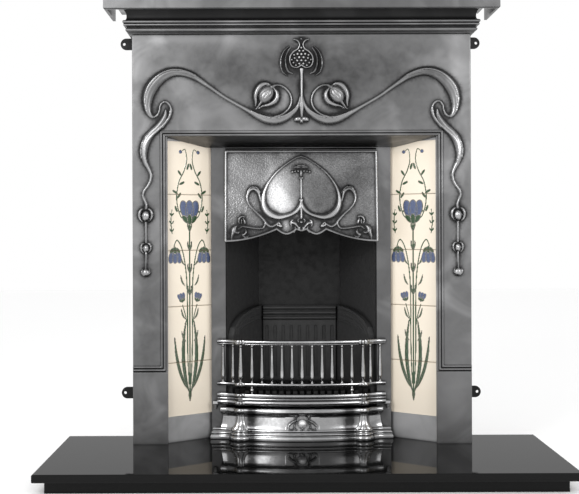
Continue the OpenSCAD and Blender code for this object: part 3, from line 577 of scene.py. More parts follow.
class Effects:
    """Shader node groups that the finishes share."""

    def __init__(self) -> None:
        """Builds each group once."""
        self.clouds = self._clouds()
        self.soot_and_shade = self._soot_and_shade()
        self.grain = self._grain()

    def _clouds(self) -> Tree:
        """Cloudy, hand polished patches, and a finer mottle within them."""
        tree, s, given, out = new_group(
            "hand_polish_clouds", {"Patch": 9.0, "Contrast": 1.0}, ("Mask", "Mottle"))
        patch, place = given.outputs["Patch"], s.place()
        big = s.node("TexNoise", {"Vector": place, "Scale": patch, "Detail": 3.0, "Distortion": 0.9})
        fine = s.node(
            "TexNoise", {"Vector": place, "Scale": s.times(patch, 7.0), "Detail": 6.0, "Distortion": 0.3})
        soft = s.remap(big.outputs[0], 0.42, 0.72)
        speck = s.remap(fine.outputs[0], 0.3, 0.75)
        both = s.times(soft, s.plus(s.times(speck, 0.5), 0.6))
        s.put(out.inputs["Mask"], s.times(both, given.outputs["Contrast"], clamp=True))
        s.put(out.inputs["Mottle"], speck)
        return tree

    def _soot_and_shade(self) -> Tree:
        """Dark graphite round raised work, with a ragged edge, and painted shade in corners from ambient
        occlusion.
        """
        tree, s, given, out = new_group("graphite_and_painted_shade", {"Reach": 0.012, "Amount": 1.0}, ("Mask",))
        # Painted shade: corners darken by how much they are occluded.
        near = s.node("AmbientOcclusion", {"Distance": given.outputs["Reach"]}, samples=6)
        corner = s.remap(near.outputs["AO"], 0.45, 0.85, 1.0, 0.0)
        drawn = s.attribute("patina_and_shade")
        ragged = s.times(s.less(s.noise(160.0), 0.5), 0.55)
        halo = s.remap(s.plus(drawn, ragged), 0.05, 0.95)
        kept = s.times(halo, s.remap(drawn, 0.03, 0.25))
        worst = s.math("MAXIMUM", s.times(corner, 0.7), kept)
        s.put(out.inputs["Mask"], s.times(worst, given.outputs["Amount"], clamp=True))
        return tree

    def _grain(self) -> Tree:
        """Height of the skin that a sand mould leaves."""
        tree, s, given, out = new_group("sand_cast_grain", {"Scale": 420.0}, ("Height",))
        sand = s.node("TexNoise", {"Vector": s.place(), "Scale": given.outputs["Scale"], "Detail": 5.0})
        swell = s.noise(22.0, 2.0)
        s.put(out.inputs["Height"], s.plus(s.times(sand.outputs[0], 0.35), s.times(swell, 0.65)))
        return tree


class Finish:
    """Base of the finishes: a material with a Principled surface and room for its pattern."""

    name = "finish"
    metallic = 0.0

    def __init__(self, effects: Effects) -> None:
        """Builds the material from the shared node groups."""
        self.effects = effects
        self.material = bpy.data.materials.new(self.name)
        self.material.use_nodes = True
        self.tree = self.material.node_tree
        self.sketch = Sketch(self.tree)
        self.surface = self.tree.nodes["Principled BSDF"]
        self.surface.inputs["Metallic"].default_value = self.metallic
        self.dress()

    def dress(self) -> None:
        """Adds the pattern of the finish."""

    def group(self, tree: Tree, **values: float) -> Node:
        """Places a shared group with its own values."""
        made = self.sketch.node("Group")
        made.node_tree = tree
        for key, value in values.items():
            made.inputs[key].default_value = value
        return made

    def paint(self, colour: Socket, rough: Socket | float) -> None:
        """Feeds the colour and the roughness of the surface."""
        self.sketch.put(self.surface.inputs["Base Color"], colour)
        self.sketch.put(self.surface.inputs["Roughness"], rough)

    def bump(self, height: Socket, depth: float, strength: float) -> None:
        """Feeds a height from 0 to 1, its depth in millimetres and a share of the effect to the normal."""
        values = {"Distance": depth * MM, "Strength": strength, "Height": height}
        self.sketch.put(self.surface.inputs["Normal"], self.sketch.node("Bump", values).outputs[0])

    def apply_painted_light(self, colour: Socket, mottle: Socket) -> Socket:
        """Brightens or darkens a colour by the mesh's painted light and shade, a little unevenly."""
        s = self.sketch
        uneven = s.times(s.attribute("tone"), s.plus(s.times(mottle, 0.3), 0.85))
        return s.blend(1.0, colour, s.gray(s.math("MAXIMUM", s.plus(uneven, 1.0), 0.1)), "MULTIPLY")

    @staticmethod
    def grey(level: float) -> tuple[float, float, float, float]:
        """Makes a neutral colour."""
        return (level, level, 1.01 * level, 1.0)

    def on(self, *pieces: Piece) -> None:
        """Puts the finish on pieces in place of what they have."""
        for piece in pieces:
            piece.data.materials.clear()
            piece.data.materials.append(self.material)


class BurnishedIron(Finish):
    """Cast iron polished by hand: grey with brighter clouds and painted light patches, and dark graphite with
    painted shade in the low places.
    """

    name = "burnished_cast_iron"
    metallic = 1.0
    dull, bright = 0.14, 0.30
    speckle = 0.0

    def dress(self) -> None:
        """Mixes clouds, mottle, painted light and shade patches, bright crests, and graphite with painted
        shade.
        """
        s = self.sketch
        clouds = self.group(self.effects.clouds, Patch=6.5, Contrast=1.0).outputs
        soot_and_shade = self.group(self.effects.soot_and_shade, Reach=0.010, Amount=0.92).outputs["Mask"]
        grain = self.group(self.effects.grain, Scale=420.0)
        grey = s.blend(clouds["Mask"], self.grey(self.dull), self.grey(self.bright))
        grey = s.blend(s.times(clouds["Mottle"], 0.25), grey, self.grey(0.6 * self.dull))
        if self.speckle:
            sand = s.remap(s.noise(260.0, 5.0, rough=0.7), 0.36, 0.64, 1 - self.speckle, 1 + self.speckle)
            grey = s.blend(1.0, grey, s.gray(sand), "MULTIPLY")
        grey = s.blend(s.times(s.attribute("polish"), 0.62), grey, self.grey(0.44))
        grey = self.apply_painted_light(grey, clouds["Mottle"])
        rough = s.less(0.40, s.times(clouds["Mask"], 0.12))
        rough = s.less(rough, s.times(s.attribute("polish"), 0.10))
        # Graphite and painted shade darken the metal nearly to black.
        self.paint(s.blend(soot_and_shade, grey, self.grey(0.012)), s.plus(rough, s.times(soot_and_shade, 0.18)))
        self.bump(grain.outputs["Height"], 0.25, 0.35)


class LitCheekIron(BurnishedIron):
    """The same iron on the frames of the tiles, painted brighter and less metallic: painted light where the
    splayed frames catch the lamps.
    """

    name = "burnished_cheek_iron_painted_light"
    metallic = 0.7
    dull, bright = 0.40, 0.60


class DullIron(BurnishedIron):
    """The same iron, darker, on the shelf and the fire frame."""

    name = "duller_cast_iron"
    dull, bright = 0.112, 0.24


class HammeredIron(BurnishedIron):
    """The same iron with the close hammered ground of the hood."""

    name = "hammered_cast_iron"
    speckle = 0.20

    def dress(self) -> None:
        """Adds a hammered skin to the burnished iron."""
        super().dress()
        s = self.sketch
        cells = s.node("TexVoronoi", {"Scale": 260.0, "Vector": s.place()}, feature="SMOOTH_F1")
        self.bump(s.times(cells.outputs["Distance"], s.attribute("ground")), 1.2, 0.6)


class SootyIron(Finish):
    """Matt black iron of the firebox."""

    name = "sooty_firebox_iron"
    clean, ashy, dusty = 0.005, 0.013, 0.032
    gloss = 0.27

    def dress(self) -> None:
        """Mixes sooty black and ash, and paints light on the side walls, which come out lighter by the way
        they face.
        """
        s = self.sketch
        clouds = self.group(self.effects.clouds, Patch=9.0, Contrast=0.8).outputs
        grain = self.group(self.effects.grain, Scale=300.0)
        # Painted light: faces turned sideways come out lighter.
        aside = s.node("SeparateXYZ", {0: s.node("TexCoord").outputs["Normal"]})
        wall = s.remap(s.math("ABSOLUTE", aside.outputs[0]), 0.35, 0.85)
        front = s.blend(clouds["Mask"], self.grey(self.clean), self.grey(self.ashy))
        side_lit = s.blend(wall, front, self.grey(self.dusty))
        # Painted shade and deposit in the corners go nearly black.
        soot_and_shade = self.group(self.effects.soot_and_shade, Reach=0.018, Amount=1.0).outputs["Mask"]
        self.paint(s.blend(soot_and_shade, side_lit, self.grey(0.001)), s.plus(0.46, s.times(clouds["Mottle"], 0.2)))
        self.surface.inputs["Specular IOR Level"].default_value = self.gloss
        self.bump(grain.outputs["Height"], 0.3, 0.5)


class LiningIron(SootyIron):
    """Firebox iron of the loose linings, a little lighter."""

    name = "sooty_lining_iron"
    clean, ashy, dusty = 0.020, 0.036, 0.042
    gloss = 0.35


class BrightIron(Finish):
    """Iron polished nearly to a mirror, with the wheel's fine lines, painted light patches, and graphite with
    painted shade in the corners.
    """

    name = "bright_polished_iron"
    metallic = 1.0
    dull, bright = 0.32, 0.52
    smooth = 0.13

    def dress(self) -> None:
        """Mixes bright metal, painted light and shade patches, faint lines, and graphite with painted shade.
        """
        s = self.sketch
        clouds = self.group(self.effects.clouds, Patch=16.0, Contrast=0.9).outputs
        soot_and_shade = self.group(self.effects.soot_and_shade, Reach=0.006, Amount=0.85).outputs["Mask"]
        metal = s.blend(clouds["Mask"], self.grey(self.dull), self.grey(self.bright))
        # Graphite and painted shade darken the metal nearly to black.
        metal = s.blend(soot_and_shade, self.apply_painted_light(metal, clouds["Mottle"]), (0.02, 0.02, 0.0205, 1))
        lines = s.noise(90.0, 3.0, stretch=(0.15, 1, 6))
        self.paint(metal, s.plus(s.plus(self.smooth, s.times(lines, 0.12)), s.times(soot_and_shade, 0.2)))
        self.bump(s.noise(60.0, 3.0), 0.25, 0.2)


class KnobShineIron(BrightIron):
    """Bright iron worn pale by hands, and painted paler and half diffuse as a painted shine."""

    name = "knob_iron_worn_pale_painted_shine"
    metallic = 0.5
    dull, bright = 0.74, 0.90
    smooth = 0.34


class PlainSteel(Finish):
    """Steel of bolts, clamps and the ash pan."""

    name = "plain_steel"
    metallic = 1.0

    def dress(self) -> None:
        """Mixes mill skin and dulled patches."""
        s = self.sketch
        clouds = self.group(self.effects.clouds, Patch=40.0, Contrast=1.0).outputs
        grain = self.group(self.effects.grain, Scale=900.0)
        steel = s.blend(clouds["Mask"], (0.16, 0.16, 0.165, 1), (0.33, 0.33, 0.335, 1))
        self.paint(steel, s.less(0.48, s.times(clouds["Mottle"], 0.16)))
        self.bump(grain.outputs["Height"], 0.1, 0.4)


class BlackGranite(Finish):
    """Black granite under a worn polish: partly a mirror, partly honed, with faintly glinting grains."""

    name = "polished_black_granite"
    polished = 0.43

    def dress(self) -> None:
        """Mixes black stone and grey grains, then the honed share."""
        s = self.sketch
        grains = s.node("TexVoronoi", {"Scale": 480.0, "Vector": s.place()})
        speck = s.remap(grains.outputs["Distance"], 0.0, 0.16, 1.0, 0.0)
        speck = s.times(speck, s.remap(s.noise(60.0, 3.0), 0.5, 0.7))
        stone = s.blend(speck, self.grey(0.0045), self.grey(0.02))
        self.paint(stone, s.plus(0.02, s.times(s.noise(8.0, 3.0), 0.03)))
        self.surface.inputs["Specular IOR Level"].default_value = 0.3
        honed = s.node("BsdfDiffuse", {"Color": stone})
        both = s.node("MixShader", {"Fac": self.polished, 1: honed.outputs[0], 2: self.surface.outputs[0]})
        s.put(self.tree.nodes["Material Output"].inputs["Surface"], both.outputs[0])


class Mortar(Finish):
    """Cement bed under the slab."""

    name = "cement_bed"

    def dress(self) -> None:
        """Mixes sand and cement."""
        sand = self.sketch.noise(350.0, 6.0)
        self.paint(self.sketch.blend(sand, (0.21, 0.205, 0.19, 1), (0.42, 0.41, 0.38, 1)), 0.92)
        self.bump(sand, 1.5, 0.8)


class TileGlaze(Finish):
    """Soft cream glaze, with green and blue glazes pooled between raised lines."""

    name = "cream_tile_glaze"

    def dress(self) -> None:
        """Mixes the glazes where the tile's attributes say."""
        s = self.sketch
        cream = s.blend(s.noise(7.0, 3.0), (0.81, 0.715, 0.58, 1), (0.84, 0.76, 0.645, 1))
        speck = s.remap(s.noise(900.0, 2.0), 0.62, 0.75)
        colour = s.blend(s.times(speck, 0.25), cream, (0.5, 0.42, 0.31, 1))
        pool = s.noise(230.0, 3.0)
        green = s.blend(pool, (0.01, 0.036, 0.014, 1), (0.035, 0.085, 0.032, 1))
        blue = s.blend(pool, (0.03, 0.045, 0.11, 1), (0.115, 0.15, 0.26, 1))
        outline = (0.012, 0.022, 0.014, 1)
        for layer, full, glaze in (("leaf", 0.7, green), ("flower", 0.7, blue), ("line", 0.8, outline)):
            colour = s.blend(s.remap(s.attribute(layer), 0.3, full), colour, glaze)
        colour = s.blend(s.times(s.attribute("edge"), 0.4), colour, (0.42, 0.34, 0.24, 1))
        self.paint(colour, s.plus(0.14, s.times(s.noise(30.0, 2.0), 0.1)))
        self.surface.inputs["Coat Weight"].default_value = 0.35
        self.surface.inputs["Coat Roughness"].default_value = 0.06
        self.bump(s.noise(45.0, 2.0), 0.35, 0.25)


class Finishes:
    """All the finishes of the fireplace."""

    def __init__(self) -> None:
        """Builds the shared groups and each material."""
        effects = Effects()
        self.burnished = BurnishedIron(effects)
        self.cheek = LitCheekIron(effects)
        self.dull = DullIron(effects)
        self.hammered = HammeredIron(effects)
        self.sooty = SootyIron(effects)
        self.lining = LiningIron(effects)
        self.bright = BrightIron(effects)
        self.knob = KnobShineIron(effects)
        self.steel = PlainSteel(effects)
        self.granite = BlackGranite(effects)
        self.mortar = Mortar(effects)
        self.glaze = TileGlaze(effects)


# ---------------------------------------------------------------- sub-assemblies


@dataclass
class Assembly:
    """A part of the fireplace.

    Attributes:
        nodes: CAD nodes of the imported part.
        finishes: The finishes.
    """

    nodes: dict[str, Piece]
    finishes: Finishes

    def settle(self, piece: Piece, body: Body, slot: Slot, finish: Finish, *replaced: str) -> Piece:
        """Dresses a piece and lets it ride.

        Args:
            piece: New piece.
            body: Body that it moves with.
            slot: Material slot of the record; not used.
            finish: Its finish.
            *replaced: CAD nodes that it stands for.

        Returns:
            The piece.
        """
        finish.on(piece)
        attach(piece, body.value)
        if replaced:
            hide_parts(*replaced)
        log.info("%s: %d faces on %s", piece.name, len(piece.data.polygons), body.value)
        return piece

    def keep(self, finish: Finish, names: Sequence[str], ease: float = 0.0) -> None:
        """Dresses CAD nodes whose shapes stay, with edges rounded by a width in millimetres, or 0."""
        for name in names:
            finish.on(self.nodes[name])
            if ease:
                soften_edges(self.nodes[name], ease)
            log.info("%s keeps its shape", name)


@dataclass
class Hearth(Assembly):
    """Granite slab on its slips and bed."""

    def build(self) -> None:
        """Dresses the stones."""
        stones = ["hearth_slab", "hearth_front_slip", "hearth_slip_left", "hearth_slip_right"]
        self.keep(self.finishes.granite, stones, ease=0.8)
        self.keep(self.finishes.mortar, ["hearth_bed"])


@dataclass
class FrontPhoto:
    """Turns a pixel of the photograph's front plane into millimetres on the surround.

    Attributes:
        middle: Pixel column of the surround's middle line.
        floor: Height in millimetres of pixel row 0 above the hearth.
        scale: Millimetres a pixel.
    """

    middle: float = 302.0
    floor: float = 1196.3
    scale: float = 2.697

    def knots(self, rows: Knots) -> Knots:
        """Turns rows of column, row, half width in pixels and height in millimetres into millimetres."""
        return [(*self.place(x, y), w * self.scale, h) for x, y, w, h in rows]

    def place(self, x: float, y: float) -> Spot:
        """Turns one pixel into millimetres."""
        return abs(self.middle - x) * self.scale, self.floor - y * self.scale

    def height(self, y: float) -> float:
        """Height in millimetres of a pixel row."""
        return self.floor - y * self.scale


@dataclass
class Surround(Assembly):
    """Front casting with its whiplash relief, beads, plinths, bed moulding, sides and flange.

    Attributes:
        half: Half its width.
        opening: Half the opening's width.
        opening_h: Height of the opening.
        plate: Thickness of the plates.
        depth: Depth from face to wall.
        relief_top: Height at which the bed moulding starts.
        top: Height of the flange.
        plinth: Height of the plinths.
        plinth_out: How far they stand out.
        bead: Radius of the beads.
        overhang: How far the flange stands out of the face and the sides.
    """

    half: float = 457.0
    opening: float = 363.0
    opening_h: float = 829.5
    plate: float = 8.0
    depth: float = 126.0
    relief_top: float = 1104.0
    top: float = 1182.0
    plinth: float = 195.0
    plinth_out: float = 3.0
    bead: float = 4.0
    overhang: float = 43.0
    photo: FrontPhoto = field(default_factory=FrontPhoto)

    def build(self) -> None:
        """Builds the casting."""
        iron = self.finishes.burnished
        self.settle(self.face(), Body.FIREPLACE, Slot.BURNISHED, iron, "surround")
        self.settle(self.moulding(), Body.FIREPLACE, Slot.BURNISHED, iron)
        for name, s in (("surround_side_left", -1), ("surround_side_right", 1)):
            x = sorted((s * (self.half - self.plate), s * self.half))
            side = slab(name, (x[0], self.plate - 1, 0), (x[1], self.depth, self.relief_top + 2), 1.0)
            self.settle(side, Body.FIREPLACE, Slot.BURNISHED, iron)
        low = (-self.half - self.overhang, -self.overhang, self.top)
        flange = slab(
            "surround_flange", low, (self.half + self.overhang, self.depth, self.top + self.plate), 1.0)
        self.settle(flange, Body.FIREPLACE, Slot.BURNISHED, iron)

    def columns(self) -> Grid:
        """Places of the columns of the face's grid, finer across the beads."""
        stem, fine, coarse = 48.0, 0.8, 1.7
        beads = np.arange(self.opening, self.opening + 22, fine)
        right = np.concatenate([
            np.arange(0, stem, fine), np.arange(stem, self.opening, coarse), beads,
            np.arange(beads[-1] + 2 * fine, self.half - 2.0, coarse), self.half - np.array([1.2, 0.4, 0.0])])
        return np.concatenate([-right[:0:-1], right])

    def rows(self) -> Grid:
        """Places of the rows of the face's grid, finer where beads and plinths turn."""
        ribbon, seed_head, fine = 440.0, 990.0, 0.8
        return np.concatenate([
            [0.0, 0.5, 1.5], np.arange(6, self.plinth - 6, 6.0),
            np.arange(self.plinth - 5, self.plinth + 20, fine), np.arange(self.plinth + 22, ribbon, 4.0),
            np.arange(ribbon, self.opening_h - 2, 1.8), np.arange(self.opening_h, self.opening_h + 20, fine),
            np.arange(self.opening_h + 21, seed_head, 1.7), np.arange(seed_head, self.relief_top, 1.0),
            [self.relief_top]])

    def face(self) -> Piece:
        """Builds the front plate with everything that is cast on it."""
        relief = Relief(self.columns(), self.rows())
        self.whiplash(relief)
        self.strand(relief)
        self.flower_bud(relief)
        self.seed_head(relief)
        self.apply_painted_light(relief)
        looks = relief.looks(near=3, far=8, full=1.6)
        deepest, ease = -2.5, 1.6
        out = np.maximum(relief.height, deepest)
        gx, gz = np.abs(relief.xs)[None, :], relief.zs[:, None]
        out = out + self.beads(gx, gz) + self.plinths(gx, gz)
        out = out - ease * np.clip(1 - (self.half - gx) / ease, 0, 1) ** 2
        mid_x, mid_z = (relief.xs[1:] + relief.xs[:-1]) / 2, (relief.zs[1:] + relief.zs[:-1]) / 2
        mask = ~((np.abs(mid_x)[None, :] < self.opening) & (mid_z[:, None] < self.opening_h))
        x, z = np.meshgrid(relief.xs, relief.zs)
        front = np.stack([x, -out, z + HEARTH_TOP], axis=2)
        back = np.stack([x, np.full_like(x, self.plate), z + HEARTH_TOP], axis=2)
        return shell("surround_face", front, back, mask, looks)

    def apply_painted_light(self, relief: Relief) -> None:
        """Paints the brighter strips and darker fields of the frieze and the legs, as painted highlights and
        shade.
        """
        # Painted light and shade: pixel column, pixel row, radii in pixels and amount.
        patches = [
            (195, 39, 66, 5, 0.3), (156, 54, 20, 20, -0.24), (232, 70, 50, 24, -0.18),
            (302, 62, 40, 26, -0.18), (240, 131, 62, 4, 0.2), (300, 78, 190, 52, -0.27),
            (200, 62, 36, 12, -0.08), (424, 66, 26, 14, -0.1), (286, 60, 5, 15, -0.45),
            (318, 60, 5, 15, -0.5), (395, 39, 62, 5, 0.05), (457, 62, 10, 30, 0.34), (372, 70, 50, 26, -0.26),
            (362, 131, 62, 4, 0.12), (147, 310, 16, 90, -0.26), (137, 200, 4, 150, 0.15),
            (454, 404, 18, 40, 0.35), (150, 404, 18, 40, -0.08), (286, 99, 6, 12, 0.45),
            (318, 99, 6, 12, 0.35), (302, 107, 12, 7, 0.25)]
        # Painted highlights on the whiplash's belly, the flower buds, the seed head and the stem.
        crescent = [
            (286.4, 93.5), (286, 98.5), (283.6, 103.5), (279.6, 107.6), (274.4, 110.4), (268.6, 111.4)]
        patches += [(302 + side * (302 - px), py, 3.2, 3.2, 0.36) for px, py in crescent for side in (-1, 1)]
        patches += [(302 + side * 37.0, 92.0, 6.5, 8.0, 0.5) for side in (-1, 1)]
        patches += [(302, 57, 9, 12, 1.5), (302, 86, 3.5, 16, 0.5)]
        scale = self.photo.scale
        for px, py, rx, ry, amount in patches:
            relief.paint_light(
                (px - self.photo.middle) * scale, self.photo.height(py), rx * scale, ry * scale, amount)

    def beads(self, gx: Grid, gz: Grid) -> Grid:
        """Two beads side by side round the opening, turned out to the edge above the plinths."""
        total = np.zeros(np.broadcast(gx, gz).shape)
        for k in (1, 3):
            out = k * self.bead
            bx, top, foot = self.opening + 4 + out, self.opening_h + out, self.plinth + out
            post = np.hypot(gx - bx, np.clip(foot - gz, 0, None) + np.clip(gz - top, 0, None))
            head = np.hypot(np.clip(gx - bx, 0, None), gz - top)
            rail = np.hypot(np.clip(bx - gx, 0, None), gz - foot)
            near = np.minimum(np.minimum(post, head), rail)
            total = np.maximum(total, np.sqrt(np.clip(self.bead**2 - near**2, 0, None)))
        return total

    def plinths(self, gx: Grid, gz: Grid) -> Grid:
        """Plain plinths of the legs, with an eased top edge."""
        return self.plinth_out * np.clip((self.plinth - gz) / 2.0, 0, 1) * np.ones_like(gx)

    def whiplash(self, relief: Relief) -> None:
        """Draws the long double curve from the stem in the middle out to the curl at each end."""
        k = self.photo.knots
        relief.draw(k, 0.75, sweep=[
            (301, 97, 1.5, 4), (299.4, 103.5, 1.9, 4.6), (296.4, 108.8, 2.5, 5), (291.6, 113.4, 3, 5.4),
            (284, 117.8, 3.9, 6), (276, 119.6, 4.5, 6.4), (268, 118.8, 4.4, 6.2), (260.2, 116.2, 3.4, 5.4),
            (252.2, 112.2, 2.3, 4.6), (243, 107, 1.7, 4), (233, 101.4, 1.5, 3.8), (223, 95.4, 1.5, 3.8),
            (212, 87.6, 1.7, 4), (203, 81.4, 2.1, 4.2), (196, 76.6, 2.7, 4.6), (189, 73.4, 3.4, 5),
            (180.4, 71.4, 4, 5.4), (171.8, 71.8, 4.6, 6), (163.4, 75.2, 5.3, 6.6), (156.6, 81.2, 5.7, 7),
            (151.2, 88.2, 5.9, 7), (148.4, 95.6, 5.3, 6.8), (147.6, 102.6, 4.4, 6.2),
            (148.2, 108.6, 3.4, 5.2), (150.2, 113.8, 2.2, 4.2), (153.6, 116.6, 1.3, 3.4),
            (157.6, 114.4, 1.15, 3.2), (159.8, 110, 1.1, 3.2), (160.5, 105.6, 1.1, 3.2),
            (163, 102, 1.15, 3.4), (166.8, 101.4, 1.2, 3.6), (170.2, 104.6, 1.25, 3.8), (171.5, 110, 1.3, 4),
            (170.2, 115.6, 1.35, 4), (166.8, 121.4, 1.4, 4), (162.8, 126.8, 1.4, 4)])
        relief.draw(k, 0.9, crest=[
            (196, 74.6, 0.9, 5.4), (189, 71.6, 1.2, 6.2), (180.4, 69.4, 1.5, 7), (171.4, 69.6, 1.7, 7.8),
            (162.4, 72.8, 1.9, 8.4), (154.6, 78.8, 2.2, 8.8), (148.8, 86.4, 2.3, 9), (145.8, 95, 2.1, 8.6),
            (145.4, 102.6, 1.7, 7.6), (146.6, 109.4, 1.3, 6), (149.6, 114.8, 1, 4.4)])
        relief.draw(k, 0.9, belly=[
            (252, 110.8, 0.9, 5.2), (260, 114.4, 1.3, 6.6), (268, 116.8, 1.6, 7.6), (276, 117.4, 1.7, 7.8),
            (284, 115.8, 1.5, 7.2), (291.4, 111.8, 1.2, 6.4), (296.4, 107.4, 1, 5.6)])
        groove = [(206, 83.2, 0.5, 0.8), (196, 77.2, 0.7, 1.4), (188, 73.9, 0.8, 1.6), (181, 72.6, 0.6, 1)]
        relief.cut(k(groove))
        relief.draw(k, mirror=False, stem=[
            (301.8, 69, 2.2, 4.2), (301.8, 74, 1.9, 4.8), (301.8, 88, 1.55, 5.2), (301.8, 98, 1.9, 5.8),
            (301.8, 104, 3, 6.6), (301.8, 109, 2.4, 6.2), (301.8, 116, 1.5, 5)])
        x, z = self.photo.place(298.3, 118.9)
        relief.petal(x, z, 7.4, 11.4, -78, 6.2, power=0.7)
        relief.petal(0.0, self.photo.height(120.8), 5.2, 6.4, 0, 5.0, power=0.7, mirror=False)

    def strand(self, relief: Relief) -> None:
        """Draws the ribbon that hangs down each leg, with its two buds and its end ball."""
        k = self.photo.knots
        relief.draw(k, 0.8, ribbon=[
            (166.2, 109.6, 0.9, 2.4), (165.4, 115.4, 2.2, 3.4), (162.4, 121.4, 3, 4),
            (157.4, 127.6, 3.5, 4.4), (151.4, 133.4, 3.9, 4.8), (146.8, 139.6, 4.2, 5.2),
            (144.4, 147.4, 3.9, 5.2), (144.2, 155, 3.2, 4.8), (145.8, 162, 2.4, 4.4),
            (148.7, 167.6, 1.8, 4.2), (151, 173.6, 1.6, 4), (150.5, 179.6, 1.5, 4), (147.7, 185.6, 1.45, 3.8),
            (144.2, 190.2, 1.4, 3.6), (143, 194.8, 1.3, 3.6), (144.7, 199.2, 1.3, 3.6),
            (146.3, 203.8, 1.4, 3.6), (146.1, 208, 1.5, 3.6)])
        relief.draw(k, 0.9, fold=[
            (171, 108, 1, 4.2), (169.6, 115.8, 1.4, 4.8), (165.6, 122.4, 1.7, 5.2), (159.4, 128.6, 1.9, 5.4),
            (152.6, 134.8, 2, 5.8), (147.6, 141.4, 2, 6), (145.4, 148.6, 1.9, 5.8), (145.4, 156, 1.6, 5.4),
            (147, 163, 1.2, 4.8)])
        relief.draw(k, 0.9, lip=[
            (154.2, 128.4, 0.8, 4.2), (147.4, 134.8, 1, 5), (142.6, 142.4, 1.1, 5.4), (140.8, 150.2, 1, 4.8),
            (141.6, 157.4, 0.8, 4)])
        self.hanging_bud(relief, 145.8, 215.0, 1.0)
        self.hanging_bud(relief, 146.0, 247.6, 0.76)
        relief.draw(k, upper_link=[(146, 222, 1.15, 3.4), (146, 242, 1.05, 3.4)])
        relief.draw(k, lower_link=[(146, 253, 1.1, 3.2), (145.8, 268, 0.95, 3.2)])
        x, z = self.photo.place(145.7, 272.2)
        relief.petal(x, z, 10.6, 10.6, 0, 7.0)
        claw = [(9, 9, 1.6, 3), (11.4, 1, 2.4, 4), (6, -8.6, 1.6, 3)]
        for side in (-1, 1):
            relief.ridge([(x + side * a, z + b, w, h) for a, b, w, h in claw])

    def hanging_bud(self, relief: Relief, px: float, py: float, size: float) -> None:
        """Draws a round bud held by two outer petals, at a pixel; size 1 is the large bud."""
        x, z = self.photo.place(px, py)
        relief.petal(x, z - 1.0 * size, 11.0 * size, 14.5 * size, 0, 8.6 * size)
        petal = [
            (3, 17.5, 1.4, 3.4), (10, 17.4, 3.4, 6), (15.8, 10.2, 4.7, 7.4), (17, 0, 4.7, 7.4),
            (14.4, -9.6, 3.7, 6.2), (8.2, -17, 2, 4)]
        vein = [(2.4, 12, 1.2, 0.7), (5.4, 0, 1.4, 1.1), (2.8, -13, 1.2, 0.7)]
        for side in (-1, 1):
            relief.ridge(
                [(x + side * a * size, z + b * size, w * size, h * size) for a, b, w, h in petal], power=0.7)
        for side in (-1, 1):
            relief.cut([(x + side * a * size, z + b * size, w, d) for a, b, w, d in vein])

    def flower_bud(self, relief: Relief) -> None:
        """Draws the tilted bud on its curled stem above each side of the whiplash."""
        k = self.photo.knots
        relief.draw(k, curl=[
            (272.6, 86.8, 1.7, 4.4), (276.2, 85, 1.3, 4), (281.8, 85.5, 1.2, 4), (287, 88.9, 1.2, 4),
            (290.8, 94.4, 1.2, 4), (292, 100.8, 1.2, 4), (290.2, 107, 1.2, 4), (286.2, 111.6, 1.25, 4.4),
            (281, 114.9, 1.2, 5.6), (275, 116.4, 0.9, 6.8)])
        x, z = self.photo.place(266.6, 94.4)
        relief.petal(x, z, 19.6, 25.4, -33, 9.8)
        relief.draw(k, 0.75, left_petal=[
            (271.4, 85.4, 1, 5), (267.2, 83.6, 2.2, 6.8), (262, 85, 3.1, 8.2), (258, 89.6, 3.1, 8.4),
            (256, 95.8, 2.6, 7.8), (256.4, 101.4, 1.7, 6.2), (256, 105.6, 0.9, 4)])
        relief.draw(k, 0.75, right_petal=[
            (274.4, 88, 1.1, 4.6), (277.4, 92.4, 2.4, 6.6), (277.4, 97.6, 2.9, 7.6), (274.2, 102, 2.9, 7.4),
            (269, 104.6, 2.2, 6.4), (263.2, 106, 1.3, 5), (258.6, 108.6, 0.8, 3.4)])
        relief.draw(k, tip=[(262, 101.6, 1.8, 5), (259.2, 105.4, 1.2, 4), (256.2, 109.2, 0.7, 3)])
        for shift, bend in ((-3.1, -1.3), (0.6, 0), (4, 1.3)):
            line = [
                (270.4 + 0.3 * shift, 88.6, 0.45, 1.0), (266.6 + shift + bend, 94.2, 0.55, 1.5),
                (262.6 + 0.3 * shift, 100.6, 0.4, 0.8)]
            relief.cut(k(line))

    def seed_head(self, relief: Relief) -> None:
        """Draws the open seed head at the top of the stem, in a hollow of graphite and painted shade."""
        k, scale = self.photo.knots, self.photo.scale
        hollow_z = self.photo.height(57.5)
